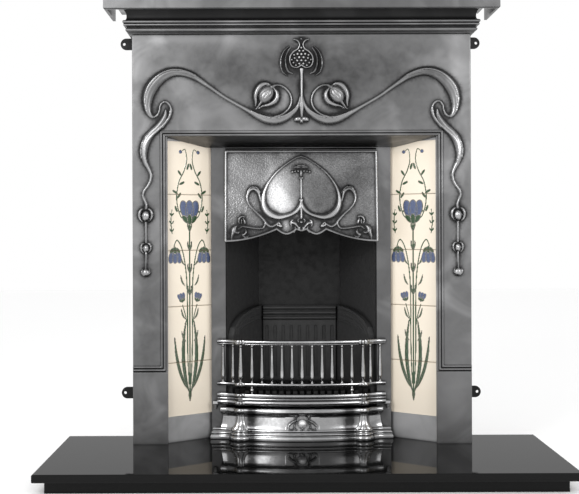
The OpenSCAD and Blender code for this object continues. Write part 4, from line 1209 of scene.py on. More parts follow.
        # Graphite and painted shade round the seed head, beside the stem and above its top.
        relief.shade(0.0, hollow_z - 2.5 * scale, 25.0 * scale, 21.5 * scale, 1.0)
        relief.shade(0.0, self.photo.height(86), 6.5 * scale, 15 * scale, 0.9)
        relief.shade(0.0, self.photo.height(40.5), 10.5 * scale, 5.5 * scale, 1.0)
        relief.draw(k, 0.9, wings=[
            (291.4, 47.6, 0.7, 2.6), (288, 52.2, 1.2, 3.2), (286.2, 58.2, 1.5, 3.6), (286.4, 65.2, 1.6, 3.6),
            (288.8, 71, 1.4, 3.4), (293, 73.4, 0.9, 2.6)])
        relief.draw(k, 0.9, rim=[
            (289.6, 45.8, 0.6, 2.6), (284.8, 50.6, 0.9, 3.2), (281.9, 57.2, 1.1, 3.6),
            (281.3, 64.6, 1.1, 3.6), (283.4, 71.6, 1, 3.4), (288.4, 75.8, 0.6, 2.6)])
        relief.draw(k, 0.9, crease=[
            (291.2, 47.4, 0.6, 3.4), (287.6, 52.4, 0.7, 4), (285.9, 59, 0.75, 4.4), (286.1, 66.4, 0.7, 4),
            (288.6, 72, 0.5, 3)])
        relief.height = np.where(self.in_heart(relief), -1.6, relief.height)
        relief.draw(k, heart=[
            (294.8, 39.2, 1, 4.8), (298.2, 40.6, 0.95, 5), (300.3, 44.2, 0.9, 5), (298.6, 48.6, 0.95, 5),
            (294.3, 51.4, 1, 5.2), (291, 56, 1.05, 5.4), (290.5, 61.4, 1.05, 5.4), (292.6, 66, 1.05, 5.2),
            (296.8, 67.5, 1, 5), (300, 66.2, 0.95, 4.8), (302, 64.8, 0.9, 4.6)])
        pearls = [
            (0, 47.6), (1.9, 50.6), (0, 54), (3.8, 53.8), (7.3, 54.8), (2.2, 57.2), (6.7, 58), (9.6, 59.6),
            (0, 60.3), (4.2, 60.5), (7.9, 62.5), (2, 63.6), (5.4, 65.2)]
        for px, py in pearls:
            relief.petal(px * scale, self.photo.height(py), 3.5, 3.5, 0, 5.0, mirror=px > 0)
        relief.petal(0.0, self.photo.height(38.8), 2.6, 2.6, 0, 2.6, mirror=False)

    def in_heart(self, relief: Relief) -> Grid:
        """True inside the seed head's hollow."""
        gx, gz = np.abs(relief.xs)[None, :], relief.zs[:, None]
        z, half_w, half_h, neck = self.photo.height(58.8), 29.0, 25.0, 40.0
        round_part = (gx / half_w) ** 2 + ((gz - z) / half_h) ** 2 < 1
        return round_part | ((gx < 0.55 * (z + neck - gz)) & (gz > z) & (gz < z + neck))

    def moulding(self) -> Piece:
        """Builds the bed moulding with its mitred corners and side returns."""
        inner = -self.plate
        profile = [
            (inner, 1100), (0, 1100), (0.2, 1103), (4, 1104.5), (7.5, 1106.5), (9.5, 1109.5), (13, 1111.2),
            (15.2, 1113.2), (15.8, 1115.6), (15, 1118), (12.4, 1119.4), (11.8, 1121.6), (13.6, 1124.2),
            (17, 1125.8), (20.2, 1126.2), (20.8, 1127), (20.8, 1129.6), (20, 1130.4), (18.8, 1131.2),
            (19.4, 1132.2), (21.6, 1133.2), (22.8, 1135), (22.8, 1137.4), (21.6, 1139.4), (19.4, 1140.6),
            (16.2, 1141.2), (13.6, 1144.5), (12.6, 1150), (13.2, 1157), (16, 1164), (19.8, 1169),
            (20.0, self.top), (inner, self.top)]

        def plan(out: float) -> Line:
            """Plan of the moulding for an out value."""
            x, y = self.half + out, -out
            if out == inner:
                y = self.plate
            return [(-x, self.depth), (-x, y), (x, y), (x, self.depth)]

        def shade(out: float, z: float) -> float:
            """Paints the shelf's shadow into the hollow under it, and graphite with painted shade into the
            quirks between the beads.
            """
            lower, upper = out < 13.0 and 1117 < z < 1125, out < 19.2 and 1130 < z < 1133
            return 1.0 if z > 1141 else 0.8 if lower or upper else 0.0

        return swept("surround_bed_moulding", profile, plan, shade)


@dataclass
class Shelf(Assembly):
    """Mantel shelf and its fixings."""

    def build(self) -> None:
        """Dresses the shelf."""
        self.keep(self.finishes.dull, ["mantel_shelf"], ease=0.8)
        self.keep(self.finishes.steel, [
            "shelf_bolts", "lug_bolts", "frame_bolts", "head_bolts", "fireback_bolts", "clamp_screws"])
        self.keep(self.finishes.steel, ["tile_clamps_left", "tile_clamps_right"])
        self.keep(
            self.finishes.sooty, ["lug_top_left", "lug_top_right", "lug_bottom_left", "lug_bottom_right"],
            ease=0.6)


@dataclass
class TileCheek(Assembly):
    """Splayed cheek of five tiles, drawn as one tall flower panel and cut into tiles.

    Attributes:
        side: -1 for the left cheek, 1 for the right.
        size: Side of a tile.
        thick: Thickness of a tile.
        joint: Joint between tiles.
        foot: Height of the lowest tile's lower edge.
        splay: Angle between cheek and front face.
        corner: Outer corner of the cheek.
        setback: How far the tiles lie behind the frame's face.
        rebate: Distance from the corner to the tile along the cheek.
    """

    side: int = 1
    size: float = 152.4
    thick: float = 10.0
    joint: float = 0.8
    foot: float = 62.0
    splay: float = 38.3
    corner: Spot = (372.417, 8)
    setback: float = 3.0
    rebate: float = 8.5
    pitch: float = 1.5

    def build(self) -> None:
        """Builds the five tiles of the cheek."""
        word = "left" if self.side < 0 else "right"
        self.keep(self.finishes.cheek, [f"tile_frame_{word}"], ease=0.5)
        for k in range(5):
            name = f"tile_{word}_{k + 1}"
            self.settle(self.tile(k, f"glazed_{name}"), Body.FIREPLACE, Slot.GLAZE, self.finishes.glaze, name)

    def tile(self, k: int, name: str) -> Piece:
        """Builds the tile that is number k from the bottom."""
        edge, unit = np.array([0, 0.6, 1.4]), self.size + self.joint
        steps = np.concatenate([edge, np.arange(2.6, self.size - 2.6, self.pitch), self.size - edge[::-1]])
        panel = PanelDrawing(Relief(steps - self.size / 2, steps + k * unit), unit)
        panel.draw()
        u, v = np.meshgrid(steps, steps)
        rim = np.minimum(np.minimum(u, self.size - u), np.minimum(v, self.size - v))
        out = panel.relief.height - 1.2 * np.clip(1 - rim / 2.2, 0, 1) ** 2
        values = {"leaf": panel.leaf, "flower": panel.flower, "line": panel.line}
        values["edge"] = np.clip(1 - rim / 2.0, 0, 1)
        front = self.place(u, out - self.setback, v + k * unit)
        back = self.place(u, np.full_like(out, -self.setback - self.thick + 0.3), v + k * unit)
        if self.side > 0:
            front, back = front[:, ::-1], back[:, ::-1]
            values = {layer: value[:, ::-1] for layer, value in values.items()}
        return shell(name, front, back, np.ones((len(steps) - 1,) * 2, bool), values)

    def place(self, u: Grid, out: Grid, v: Grid) -> Grid:
        """Turns places on the cheek into points: u in from the tile's outer edge, out of the face, v up."""
        a = math.radians(self.splay)
        along, normal = self.rebate + u, out
        x = self.corner[0] - along * math.cos(a) - normal * math.sin(a)
        y = self.corner[1] + along * math.sin(a) - normal * math.cos(a)
        return np.stack([self.side * x, y, v + self.foot + HEARTH_TOP], axis=2)


@dataclass
class PanelDrawing:
    """Generic flower panel over five tiles: a tulip with long foot leaves, nodding bells and budded sprays.

    Attributes:
        relief: Height field of one tile, in the panel's own millimetres.
        unit: Height of a tile with its joint.
    """

    relief: Relief
    unit: float
    leaf: Grid = field(init=False)
    flower: Grid = field(init=False)
    line: Grid = field(init=False)

    def __post_init__(self) -> None:
        """Starts with bare glaze."""
        self.leaf = np.zeros_like(self.relief.height)
        self.flower = np.zeros_like(self.leaf)
        self.line = np.zeros_like(self.leaf)

    def paint(self, layer: str, draw: Callable[[Relief], None], h: float) -> None:
        """Draws a shape of height 1, raises it by h millimetres and colours its layer."""
        fresh = Relief(self.relief.xs, self.relief.zs)
        draw(fresh)
        colour = np.clip(fresh.height * 2.4, 0, 1)
        self.relief.height = np.maximum(self.relief.height, fresh.height * h)
        for name in ("leaf", "flower", "line"):
            kept = getattr(self, name) * (1 - colour)
            setattr(self, name, np.maximum(kept, colour) if name == layer else kept)

    def stroke(self, layer: str, rows: Knots, h: float = 0.9, mirror: bool = True) -> None:
        """Draws a line of x, v in tiles and half width."""
        knots = [(x, v * self.unit, w, 1.0) for x, v, w in rows]
        self.paint(layer, lambda r: r.ridge(knots, mirror=mirror), h)

    def blade(self, rows: Knots, mirror: bool = True) -> None:
        """Draws a leaf with a dark outline and a dark rib, from x, v in tiles and half width."""
        self.stroke("line", [(x, v, w + 0.9) for x, v, w in rows], 0.6, mirror)
        self.stroke("leaf", rows, 1.0, mirror)
        self.stroke("line", [(x, v, 0.55) for x, v, _ in rows], 1.2, mirror)

    def oval(
        self, layer: str, x: float, v: float, across: float, along: float, turn: float, h: float = 0.9,
        mirror: bool = True,
    ) -> None:
        """Draws an oval at x, v in tiles."""
        self.paint(layer, lambda r: r.petal(x, v * self.unit, across, along, turn, 1.0, mirror=mirror), h)

    def draw(self) -> None:
        """Draws the whole panel; only what falls on the tile shows."""
        self.foot()
        self.stems()
        self.sprays()
        self.cup(0.0, 3.70, 1.62, 0)
        self.cup(48.0, 2.90, 1.12, 180)
        self.cup(27.0, 2.16, 0.66, 16)

    def foot(self) -> None:
        """Draws the foot of the plant with its long leaves."""
        self.blade([(4, 0.5, 1.4), (18, 0.62, 3.4), (34, 0.86, 4.6), (45, 1.16, 3.6), (50, 1.44, 1)])
        self.blade([(3, 0.46, 1.6), (13, 0.66, 4.2), (21, 1, 5.6), (21, 1.36, 4.4), (14, 1.72, 1.2)])
        self.blade([(0, 0.3, 1), (0, 0.4, 4.4), (0, 0.5, 2.6)], mirror=False)

    def stems(self) -> None:
        """Draws the tall stem, its leaves, and the side stems that nod over."""
        self.stroke("leaf", [(0, 0.45, 2.3), (0, 3.6, 2.1)], mirror=False)
        self.stroke("leaf", [
            (3, 0.6, 1.8), (7.5, 1.2, 1.9), (8, 2.1, 1.9), (12, 2.6, 1.9), (24, 3, 1.8), (40, 3.18, 1.8),
            (50, 3.1, 1.7), (51, 3.02, 1.6)])
        self.stroke("leaf", [(8, 1.62, 1.5), (14, 1.82, 1.6), (24, 2.02, 1.6)])
        for v in (1.35, 1.75, 2.35, 2.72):
            self.blade([(10 + 3 * v, v + 0.02, 0.9), (18 + 3 * v, v + 0.09, 2.4), (23 + 3 * v, v + 0.2, 0.7)])
        for v in (2.2, 2.6, 3, 3.35):
            self.blade([(1.5, v, 0.8), (5.0, v + 0.07, 2.0), (6.0, v + 0.16, 0.6)])

    def sprays(self) -> None:
        """Draws the sprays that curl out above the tulip, with their buds."""
        self.stroke("leaf", [
            (6, 3.5, 1.6), (30, 3.62, 1.7), (42, 3.9, 1.8), (36, 4.2, 1.8), (18, 4.42, 1.7), (9, 4.62, 1.6),
            (14, 4.8, 1.4), (24, 4.78, 1.2)])
        for x, v, turn in (
            (24, 3.68, 70), (44, 3.74, 24), (34, 3.98, -36), (47, 4.04, 62), (25, 4.2, -66), (32, 4.38, 40),
            (5, 4.5, -20),
        ):
            self.oval("line", x, v, 3.9, 10.4, turn, 0.5)
            self.oval("leaf", x, v, 3.1, 9.6, turn, 1.0)
        self.oval("line", 29, 4.76, 6.0, 5.4, 0, 0.5)
        self.oval("flower", 29, 4.76, 5.0, 4.4, 0, 1.0)
        self.stroke("leaf", [(57, 3.3, 1.5), (61, 3.5, 1.6), (58, 3.72, 1.3)])
        for v in (3.36, 3.5, 3.64):
            self.oval("leaf", 63 - 6 * abs(v - 3.5), v, 2.2, 6.0, 38)
            self.oval("leaf", 55, v, 2.2, 6.0, -38)

    def cup(self, x: float, v: float, size: float, turn: float) -> None:
        """Draws a cupped flower of three petals on green sepals.

        Args:
            x: Middle of the flower.
            v: Middle of the flower in tiles.
            size: Scale.
            turn: Tilt in degrees.
        """
        mirror = x > 0
        c, s = math.cos(math.radians(turn)), math.sin(math.radians(turn))

        def at(a: float, b: float) -> Spot:
            """Turns a place on the flower into one on the panel."""
            return x + size * (a * c + b * s), v + size * (b * c - a * s) / self.unit

        for a, lean in ((-9.5, -18), (9.5, 18), (0, 0)):
            px, pv = at(a, 2.0)
            self.oval("line", px, pv, 9.4 * size, 17.6 * size, turn + lean, 0.5, mirror)
            self.oval("flower", px, pv, 8.0 * size, 16.0 * size, turn + lean, 1.0, mirror)
        for a in (-3.6, 3.6):
            (px, pv), (qx, qv) = at(a, -8.0), at(1.6 * a, 11.0)
            self.stroke("line", [(px, pv, 0.9), (qx, qv, 0.6)], 1.1, mirror)
        for a, lean in ((-8, -48), (8, 48), (0, 0)):
            px, pv = at(a, -14.0)
            self.oval("line", px, pv, 4.9 * size, 9.4 * size, turn + lean, 0.9, mirror)
            self.oval("leaf", px, pv, 3.9 * size, 8.2 * size, turn + lean, 1.0, mirror)


@dataclass
class Hood(Assembly):
    """Hood over the fire, with its hammered ground, spade shaped frame and tendrils.

    Attributes:
        half: Half its width.
        top: Height of its top edge.
        fall: Height from there to the lower corners.
        lean: How far it leans out at its foot.
        base_y: Depth of the foot of the slope behind the top edge.
        thick: Thickness of the plate.
        middle: Pixel column of its middle.
        eye_row: Pixel row level with the camera.
        eye_h: Height of the camera above the hearth.
        eye_far: Its distance from the front of the surround.
        scale: Millimetres a pixel at that front.
        pitch: Pitch of the relief's grid.
    """

    half: float = 211.0
    top: float = 798.0
    fall: float = 253.0
    lean: float = 35.0
    base_y: float = 80.094
    thick: float = 6.0
    middle: float = 303.3
    eye_row: float = 230.0
    eye_h: float = 576.0
    eye_far: float = 3100.0
    scale: float = 2.697
    pitch: float = 1.4

    def build(self) -> None:
        """Builds the relief over the CAD hood."""
        self.keep(self.finishes.burnished, ["canopy"], ease=0.4)
        self.keep(self.finishes.steel, ["canopy_pins"])
        self.settle(self.face(), Body.HOOD, Slot.BURNISHED, self.finishes.hammered)

    def hem(self, x: Grid) -> Grid:
        """Height of the wavy lower edge above the lower corners."""
        cusp, nub, rise, lobe_fall, nub_fall = 68.0, 13.0, 32.5, 13.0, 4.0
        ax = np.abs(x)
        outer = rise * ((self.half - ax) / (self.half - cusp)) ** 2
        lobe = rise - lobe_fall * np.sin(np.pi * (cusp - ax) / (cusp - nub))
        inner = rise - nub_fall * np.cos(0.5 * np.pi * ax / nub)
        return np.where(ax >= cusp, outer, np.where(ax >= nub, lobe, inner))

    @property
    def slant(self) -> float:
        """Length of the slope from the top edge to the lower corners."""
        return math.hypot(self.fall, self.lean)

    def place(self, px: float, py: float) -> Spot:
        """Turns a photo pixel on the leaning face into millimetres across and down the slope."""
        depth = 50.0
        for _ in range(3):
            scale = self.scale * (1 + depth / self.eye_far)
            z = self.eye_h + (self.eye_row - py) * scale
            depth = self.base_y - self.thick - self.lean * (self.top - z) / self.fall
        return abs(px - self.middle) * scale, (z - self.top) * self.slant / self.fall

    def knots(self, rows: Knots) -> Knots:
        """Turns rows of column, row, half width in pixels and height in millimetres into millimetres."""
        return [(*self.place(px, py), w * self.scale, h) for px, py, w, h in rows]

    def face(self) -> Piece:
        """Builds the relief plate."""
        slant = self.slant
        xs = np.concatenate([
            [-self.half, -self.half + 0.5], np.arange(-self.half + 1.4, self.half - 1.4, self.pitch),
            [self.half - 0.5, self.half]])
        zs = np.arange(-slant, 0.01, self.pitch)
        relief = Relief(xs, zs)
        self.spade(relief)
        self.tendrils(relief)
        # Painted light and shade: the spade's left lobe bright, its right side, top and hem darker.
        light_patches = [
            (281, 190, 13, 21, 2.6), (284, 205, 16, 10, 1.2), (322, 192, 17, 22, -0.15),
            (237, 164, 9, 14, 0.5), (252, 176, 16, 14, 0.5), (240, 218, 20, 14, -0.3),
            (352, 176, 28, 30, -0.42), (322, 205, 16, 8, -0.15), (300, 153, 70, 6, -0.3),
            (254, 233, 34, 8, -0.55), (288, 224, 4, 6, 0.7), (352, 233, 34, 8, -0.55)]
        for px, py, rx, ry, amount in light_patches:
            x, z = self.place(px, py)
            relief.paint_light(math.copysign(x, px - self.middle), z, rx * self.scale, ry * self.scale, amount)
        hem = self.hem(xs) - slant
        rows = np.linspace(0, 1, len(zs))[:, None]
        gz = hem[None, :] * (1 - rows)
        picked = np.clip((gz + slant) / self.pitch, 0, len(zs) - 1.001)
        low = picked.astype(int)
        part = picked - low
        cols = np.arange(len(xs))[None, :].repeat(len(zs), axis=0)
        relief.height, relief.dark, tone = (
            v[low, cols] * (1 - part) + v[low + 1, cols] * part
            for v in (relief.height, relief.dark, relief.tone))
        gx = xs[None, :].repeat(len(zs), axis=0)
        slope = np.gradient(hem, xs)
        lift = (gz - hem[None, :]) / np.hypot(1, slope)[None, :]
        rim = np.minimum(np.minimum(self.half - np.abs(gx), -gz), lift)
        frame_h, frame_r = 3.4, 3.2
        frame = frame_h * np.sqrt(np.clip(1 - ((rim - frame_r) / frame_r) ** 2, 0, 1))
        relief.height = np.maximum(relief.height, frame)
        looks = relief.looks(near=3, far=8, full=1.6)
        # Painted light and shade patches, following the relief onto the hem.
        looks["tone"] = tone
        # Graphite and painted shade along the inside of the frame.
        border = np.clip(1 - (rim - 2 * frame_r) / 10.0, 0, 1) * ((rim > 6.0) & (relief.height < 0.5))
        looks["patina_and_shade"] = np.maximum(looks["patina_and_shade"], 0.6 * border)
        heart = np.clip(1.6 - 1.4 * np.hypot(gx / 90.0, (gz + slant * 0.60) / 72.0), 0, 1)
        bare = np.clip(1 - relief.height / 0.5, 0, 1)
        looks["ground"] = bare * np.clip((rim - 6) / 2, 0, 1) * (1 - 0.65 * heart)
        out = relief.height + 0.7
        a, sunk = math.atan2(self.lean, self.fall), self.thick - 1.0
        y = self.base_y - sunk * math.cos(a) + gz * math.sin(a)
        z = self.top + gz * math.cos(a) - sunk * math.sin(a) + HEARTH_TOP
        back = np.stack([gx, y, z], axis=2)
        front = back + (out + 1.0)[..., None] * np.array([0, -math.cos(a), -math.sin(a)])
        mask = np.ones((len(zs) - 1, len(xs) - 1), bool)
        return shell("hood_relief", front, back, mask, looks)

    def spade(self, relief: Relief) -> None:
        """Draws the spade shaped frame with its thick lower lobes, and the lamp like stem inside it."""
        k = self.knots
        relief.draw(k, 0.75, outline=[
            (303.3, 155.8, 0.9, 3.6), (297.2, 158, 0.9, 3.6), (286.7, 164.8, 1, 3.8), (278.2, 172, 1.1, 4),
            (270.8, 181.4, 1.3, 4.4), (266.4, 190.5, 1.8, 5.2), (265, 199.6, 2.6, 6.2),
            (266.8, 207.6, 3.3, 7), (272.4, 213.8, 3.5, 7.4), (280.2, 216.6, 3, 7), (287.6, 215.6, 2.3, 6),
            (294.4, 213.2, 2, 5.4), (299.2, 209.6, 2.2, 5.4), (302.2, 205, 1.9, 5), (303.3, 199.6, 1, 3.8)])
        x, z = self.place(self.middle, 167.5)
        # Graphite and painted shade round the lamp at the top of the stem.
        relief.shade(x, z, 33.0, 17.0, 1.0)
        relief.draw(k, mirror=False, rod=[(303.3, 178, 0.7, 2.6), (303.3, 199, 0.75, 2.8)])
        relief.draw(k, lamp_top=[(303.3, 164.6, 0.7, 3), (306.6, 165, 0.6, 2.4)])
        relief.draw(k, lamp_rim=[(303.3, 166.5, 0.85, 4.4), (309.6, 166.5, 0.8, 4.2)])
        for px, py, size in (
            (0, 170.5, 3.4), (2.95, 170.5, 3.4), (5.9, 170.6, 3.4), (8.7, 171.2, 4.2), (1.15, 177.3, 3.1),
            (1.2, 199.3, 3.3),
        ):
            x, z = self.place(self.middle + px, py)
            relief.petal(x, z, size, size, 0, 1.5 * size, mirror=px > 0)
        relief.draw(k, mirror=False, lamp_foot=[(303.3, 172, 1.4, 3), (303.3, 175.4, 0.7, 2.6)])
        relief.draw(k, mirror=False, keel=[
            (303.3, 207, 1.6, 4.6), (303.3, 213, 1.3, 4.2), (303.3, 217.6, 1.2, 4)])

    def tendrils(self, relief: Relief) -> None:
        """Draws the side tendrils, the leaf clusters and the scrolls at the bottom."""
        k = self.knots
        relief.draw(k, tendril=[
            (264.6, 205, 0.8, 3), (262.2, 198.4, 1.1, 3.8), (260.4, 191.6, 1.4, 4.4), (256, 188.2, 1.6, 4.6),
            (251.2, 190.4, 1.6, 4.4), (248.9, 196.4, 1.3, 4), (250.4, 202.8, 1.1, 3.6), (255, 208.6, 1, 3.6),
            (260.8, 214, 1, 3.6), (265.6, 219.2, 1.1, 3.8), (269, 223.8, 1.2, 4), (273, 226, 1.2, 4),
            (277, 224.6, 1.1, 3.8), (280.2, 222.2, 1, 3.6)])
        relief.draw(k, crest=[
            (262.8, 192, 0.7, 4.6), (258.4, 186.6, 0.9, 5.2), (252.8, 186.6, 0.9, 5),
            (249.8, 190.6, 0.8, 4.4)])
        relief.draw(k, branch=[
            (267.4, 221.4, 1, 3.6), (266.4, 225.2, 1, 3.6), (263.6, 227.8, 1, 3.6), (256, 227.6, 1.1, 3.6),
            (246.4, 226, 1, 3.6), (243.4, 226.2, 0.8, 3.2), (240.4, 228.4, 0.7, 3)])
        self.bell(relief)
        self.leaves(relief)
        self.scrolls(relief)

    def bell(self, relief: Relief) -> None:
        """Draws the nodding bell with its cap and two petals, and the bud at the end of the inner tendril."""
        k = self.knots
        relief.draw(k, 0.8, cap=[
            (241.2, 222.8, 0.8, 3.4), (240.5, 219.6, 1.2, 4.4), (241.7, 216.9, 1.4, 4.8),
            (244.4, 215.7, 1.3, 4.6), (247, 216.6, 0.8, 3.4)])
        relief.draw(k, 0.8, petal=[
            (245.3, 217.8, 0.8, 4.2), (246.3, 220.3, 1.5, 5.2), (246.9, 222.4, 1.3, 4.4)])
        relief.draw(k, tongue=[(243.5, 218.6, 0.6, 3.4), (243.3, 221, 1, 3.8), (243.1, 222.8, 0.7, 3)])
        for px, py, across, along, turn, h in (
            (282.4, 225.2, 5.4, 6.4, 60, 6), (279.8, 224.8, 3.4, 4, 0, 4.4),
        ):
            x, z = self.place(px, py)
            relief.petal(x, z, across, along, turn, h)
        relief.draw(k, bud_tip=[(280.8, 221.6, 0.6, 3.6), (281.6, 223.2, 1, 4.6)])

    def leaves(self, relief: Relief) -> None:
        """Draws the pointed leaf and the curled leaflet in the lower corner."""
        k = self.knots
        relief.draw(k, 0.75, leaf=[
            (238.8, 225.2, 0.7, 3.2), (236.6, 226.8, 1.9, 4.4), (235.5, 229.2, 2.8, 5),
            (234.7, 232, 2.1, 4.6), (233.5, 235.4, 1.2, 3.8), (233.3, 238.8, 0.5, 2.6)])
        relief.draw(k, 0.75, barb=[(236.4, 231, 1.6, 4.6), (239.6, 232.2, 1.4, 4.2), (241.2, 231, 0.6, 3)])
        rib = [(238.4, 227.8, 0.4, 1), (238.2, 230.6, 0.45, 1.4), (236.6, 231, 0.4, 1)]
        relief.cut(k(rib))
        relief.draw(k, 0.75, leaflet=[
            (247.6, 229.2, 0.7, 3.4), (247.9, 231.4, 1.3, 4.4), (246.2, 233.6, 1.5, 4.4),
            (244, 233.8, 0.8, 3.2)])
        relief.draw(k, 0.75, curl=[
            (244.4, 234.8, 0.8, 3.4), (246.6, 236.4, 1.1, 4), (248.8, 236.5, 1, 3.8), (250.2, 235.2, 0.6, 3)])

    def scrolls(self, relief: Relief) -> None:
        """Draws the scrolls between the hem and the foot of the spade."""
        k = self.knots
        relief.draw(k, 0.75, outer=[
            (293.4, 226, 0.7, 3.4), (292.7, 223, 1.1, 4.4), (293.4, 220.4, 1.2, 4.6), (295, 219.2, 0.8, 3.6)])
        relief.draw(k, 0.75, inner=[
            (294, 222.2, 1.4, 4.6), (296.4, 222.6, 1.8, 5.4), (298.4, 224.6, 1.3, 4.8),
            (300.2, 226.8, 1.1, 4.4), (301.8, 230, 0.8, 3.6)])
        relief.draw(k, tail=[(297, 226.4, 0.7, 3.2), (297.3, 229, 0.9, 3.4), (295.6, 231.8, 0.9, 3.4)])
        relief.draw(k, hook=[(300.2, 221.6, 0.7, 3.4), (299.8, 219.6, 0.8, 3.8), (301, 218.4, 0.7, 3.4)])
        x, z = self.place(self.middle, 221.6)
        relief.petal(x, z, 4.4, 3.6, 0, 4.6, mirror=False)
        x, z = self.place(301.4, 227.4)
        relief.petal(x, z, 3.6, 4.6, 0, 5.2)


@dataclass
class FireFrame(Assembly):
    """Head panel, fire frame, firebox, throat and damper.

    Attributes:
        root: Plan of the back end of the right cheek lining's raised band.
        along: Plan direction of that lining from back to front.
        run: Its length.
        front_h: Height of its front end.
        drop: How far its top falls.
        bead: Radius of the beads on its band.
    """

    root: Spot = (107.6, 305)
    along: Spot = (0.3783, -0.9256)
    run: float = 221.8
    front_h: float = 283.0
    drop: float = 71.0
    bead: float = 4.0

    def build(self) -> None:
        """Dresses the castings whose shapes stay."""
        self.keep(self.finishes.dull, ["fire_frame", "head_panel", "damper_flap"], ease=0.6)
        self.keep(self.finishes.sooty, ["fireback", "pit_floor", "throat_plate"], ease=0.6)
        self.keep(self.finishes.lining, ["lining_back", "lining_left", "lining_right"], ease=0.6)
        self.keep(self.finishes.sooty, ["bottom_grate"], ease=0.8)
        self.keep(self.finishes.steel, ["damper_rod", "ash_pan", "grate_pins"])
        for side, word in ((-1, "left"), (1, "right")):
            self.settle(
                self.beads(f"lining_beads_{word}", side), Body.FIREPLACE, Slot.SOOTY, self.finishes.lining)

    def beads(self, name: str, side: int) -> Piece:
        """Lays three beads along the falling top of a cheek lining, in line with those of the back."""
        paths = []
        flat, steps = 23.0, 30
        for inset in (7, 22, 37):
            reach = self.run - inset
            turns = np.linspace(math.asin(flat / reach), math.pi / 2, steps)
            x = reach * np.sin(turns)
            z = self.front_h + (self.drop - inset) * np.cos(turns)
            (root_x, root_y), (along_x, along_y) = self.root, self.along
            paths.append(np.stack([side * (root_x + x * along_x), root_y + x * along_y, z], axis=1))
        return rods(name, paths, np.array([side * self.along[1], -self.along[0], 0.0]), self.bead)


@dataclass
class GratePlan:
    """Plan that the grate front and the ash cover share: a bowed front and a cove at each end.

    Attributes:
        front_y: Depth of the rails' middle line where the bow stands out furthest.
        bow: How far the corners stand behind it.
        corner: Half the distance between the corners.
        end_x: Half the distance between the ends.
        end_y: Depth of the ends.
    """

    front_y: float = 37.0
    bow: float = 22.0
    corner: float = 168.0
    end_x: float = 233.0
    end_y: float = 85.05
    bow_r: float = field(init=False)
    bow_y: float = field(init=False)
    centre_y: float = field(init=False)
    radius: float = field(init=False)

    def __post_init__(self) -> None:
        """Finds the bow through both corners, and the cove that runs from a corner out to the end."""
        self.bow_r = (self.corner**2 + self.bow**2) / (2 * self.bow)
        self.bow_y = self.front_y + self.bow_r
        run, rise = self.end_x - self.corner, self.end_y - self.corner_y
        self.centre_y = (self.end_y**2 - run**2 - self.corner_y**2) / (2 * rise)
        self.radius = self.end_y - self.centre_y

    @property
    def corner_y(self) -> float:
        """Depth of the corners."""
        return self.front_y + self.bow

    def front(self, x: float | Grid) -> float | Grid:
        """Depth of the middle line at a place across the bow."""
        return self.bow_y - np.sqrt(self.bow_r**2 - x**2)

    def meeting(self, out: float) -> Spot:
        """Place where the bow and the right cove meet, both drawn out by out."""
        bow, cove, span = self.bow_r + out, self.radius - out, math.hypot(
            self.end_x, self.bow_y - self.centre_y)
        along = (bow**2 - cove**2 + span**2) / (2 * span)
        aside = math.sqrt(bow**2 - along**2)
        ux, uy = self.end_x / span, (self.centre_y - self.bow_y) / span
        return along * ux + aside * uy, self.bow_y + along * uy - aside * ux

    def cove(self, out: float, end_x: float, steps: int = 24) -> Line:
        """Right cove from the corner to end_x, drawn out by out."""
        r = self.radius - out
        x, y = self.meeting(out)
        start = math.atan2(self.end_x - x, y - self.centre_y)
        stop = math.asin((end_x - self.end_x) / r)
        turns = [-start + (stop + start) * i / steps for i in range(steps + 1)]
        return [(self.end_x + r * math.sin(a), self.centre_y + r * math.cos(a)) for a in turns]

    def whole(self, out: float, end_x: float, steps: int = 40) -> Line:
        """Whole plan from the left end over the bow to the right end."""
        right = self.cove(out, end_x)
        r = self.bow_r + out
        half = math.asin(right[0][0] / r)
        turns = [half * (2 * i / steps - 1) for i in range(1, steps)]
        bow = [(r * math.sin(a), self.bow_y - r * math.cos(a)) for a in turns]
        return [(-x, y) for x, y in reversed(right)] + bow + right

    def on_cove(self, share: float) -> Spot:
        """Place on the right cove's middle line, at a share of its sweep from the end."""
        a = share * math.atan2(self.end_x - self.corner, self.corner_y - self.centre_y)
        return self.end_x - self.radius * math.sin(a), self.centre_y + self.radius * math.cos(a)


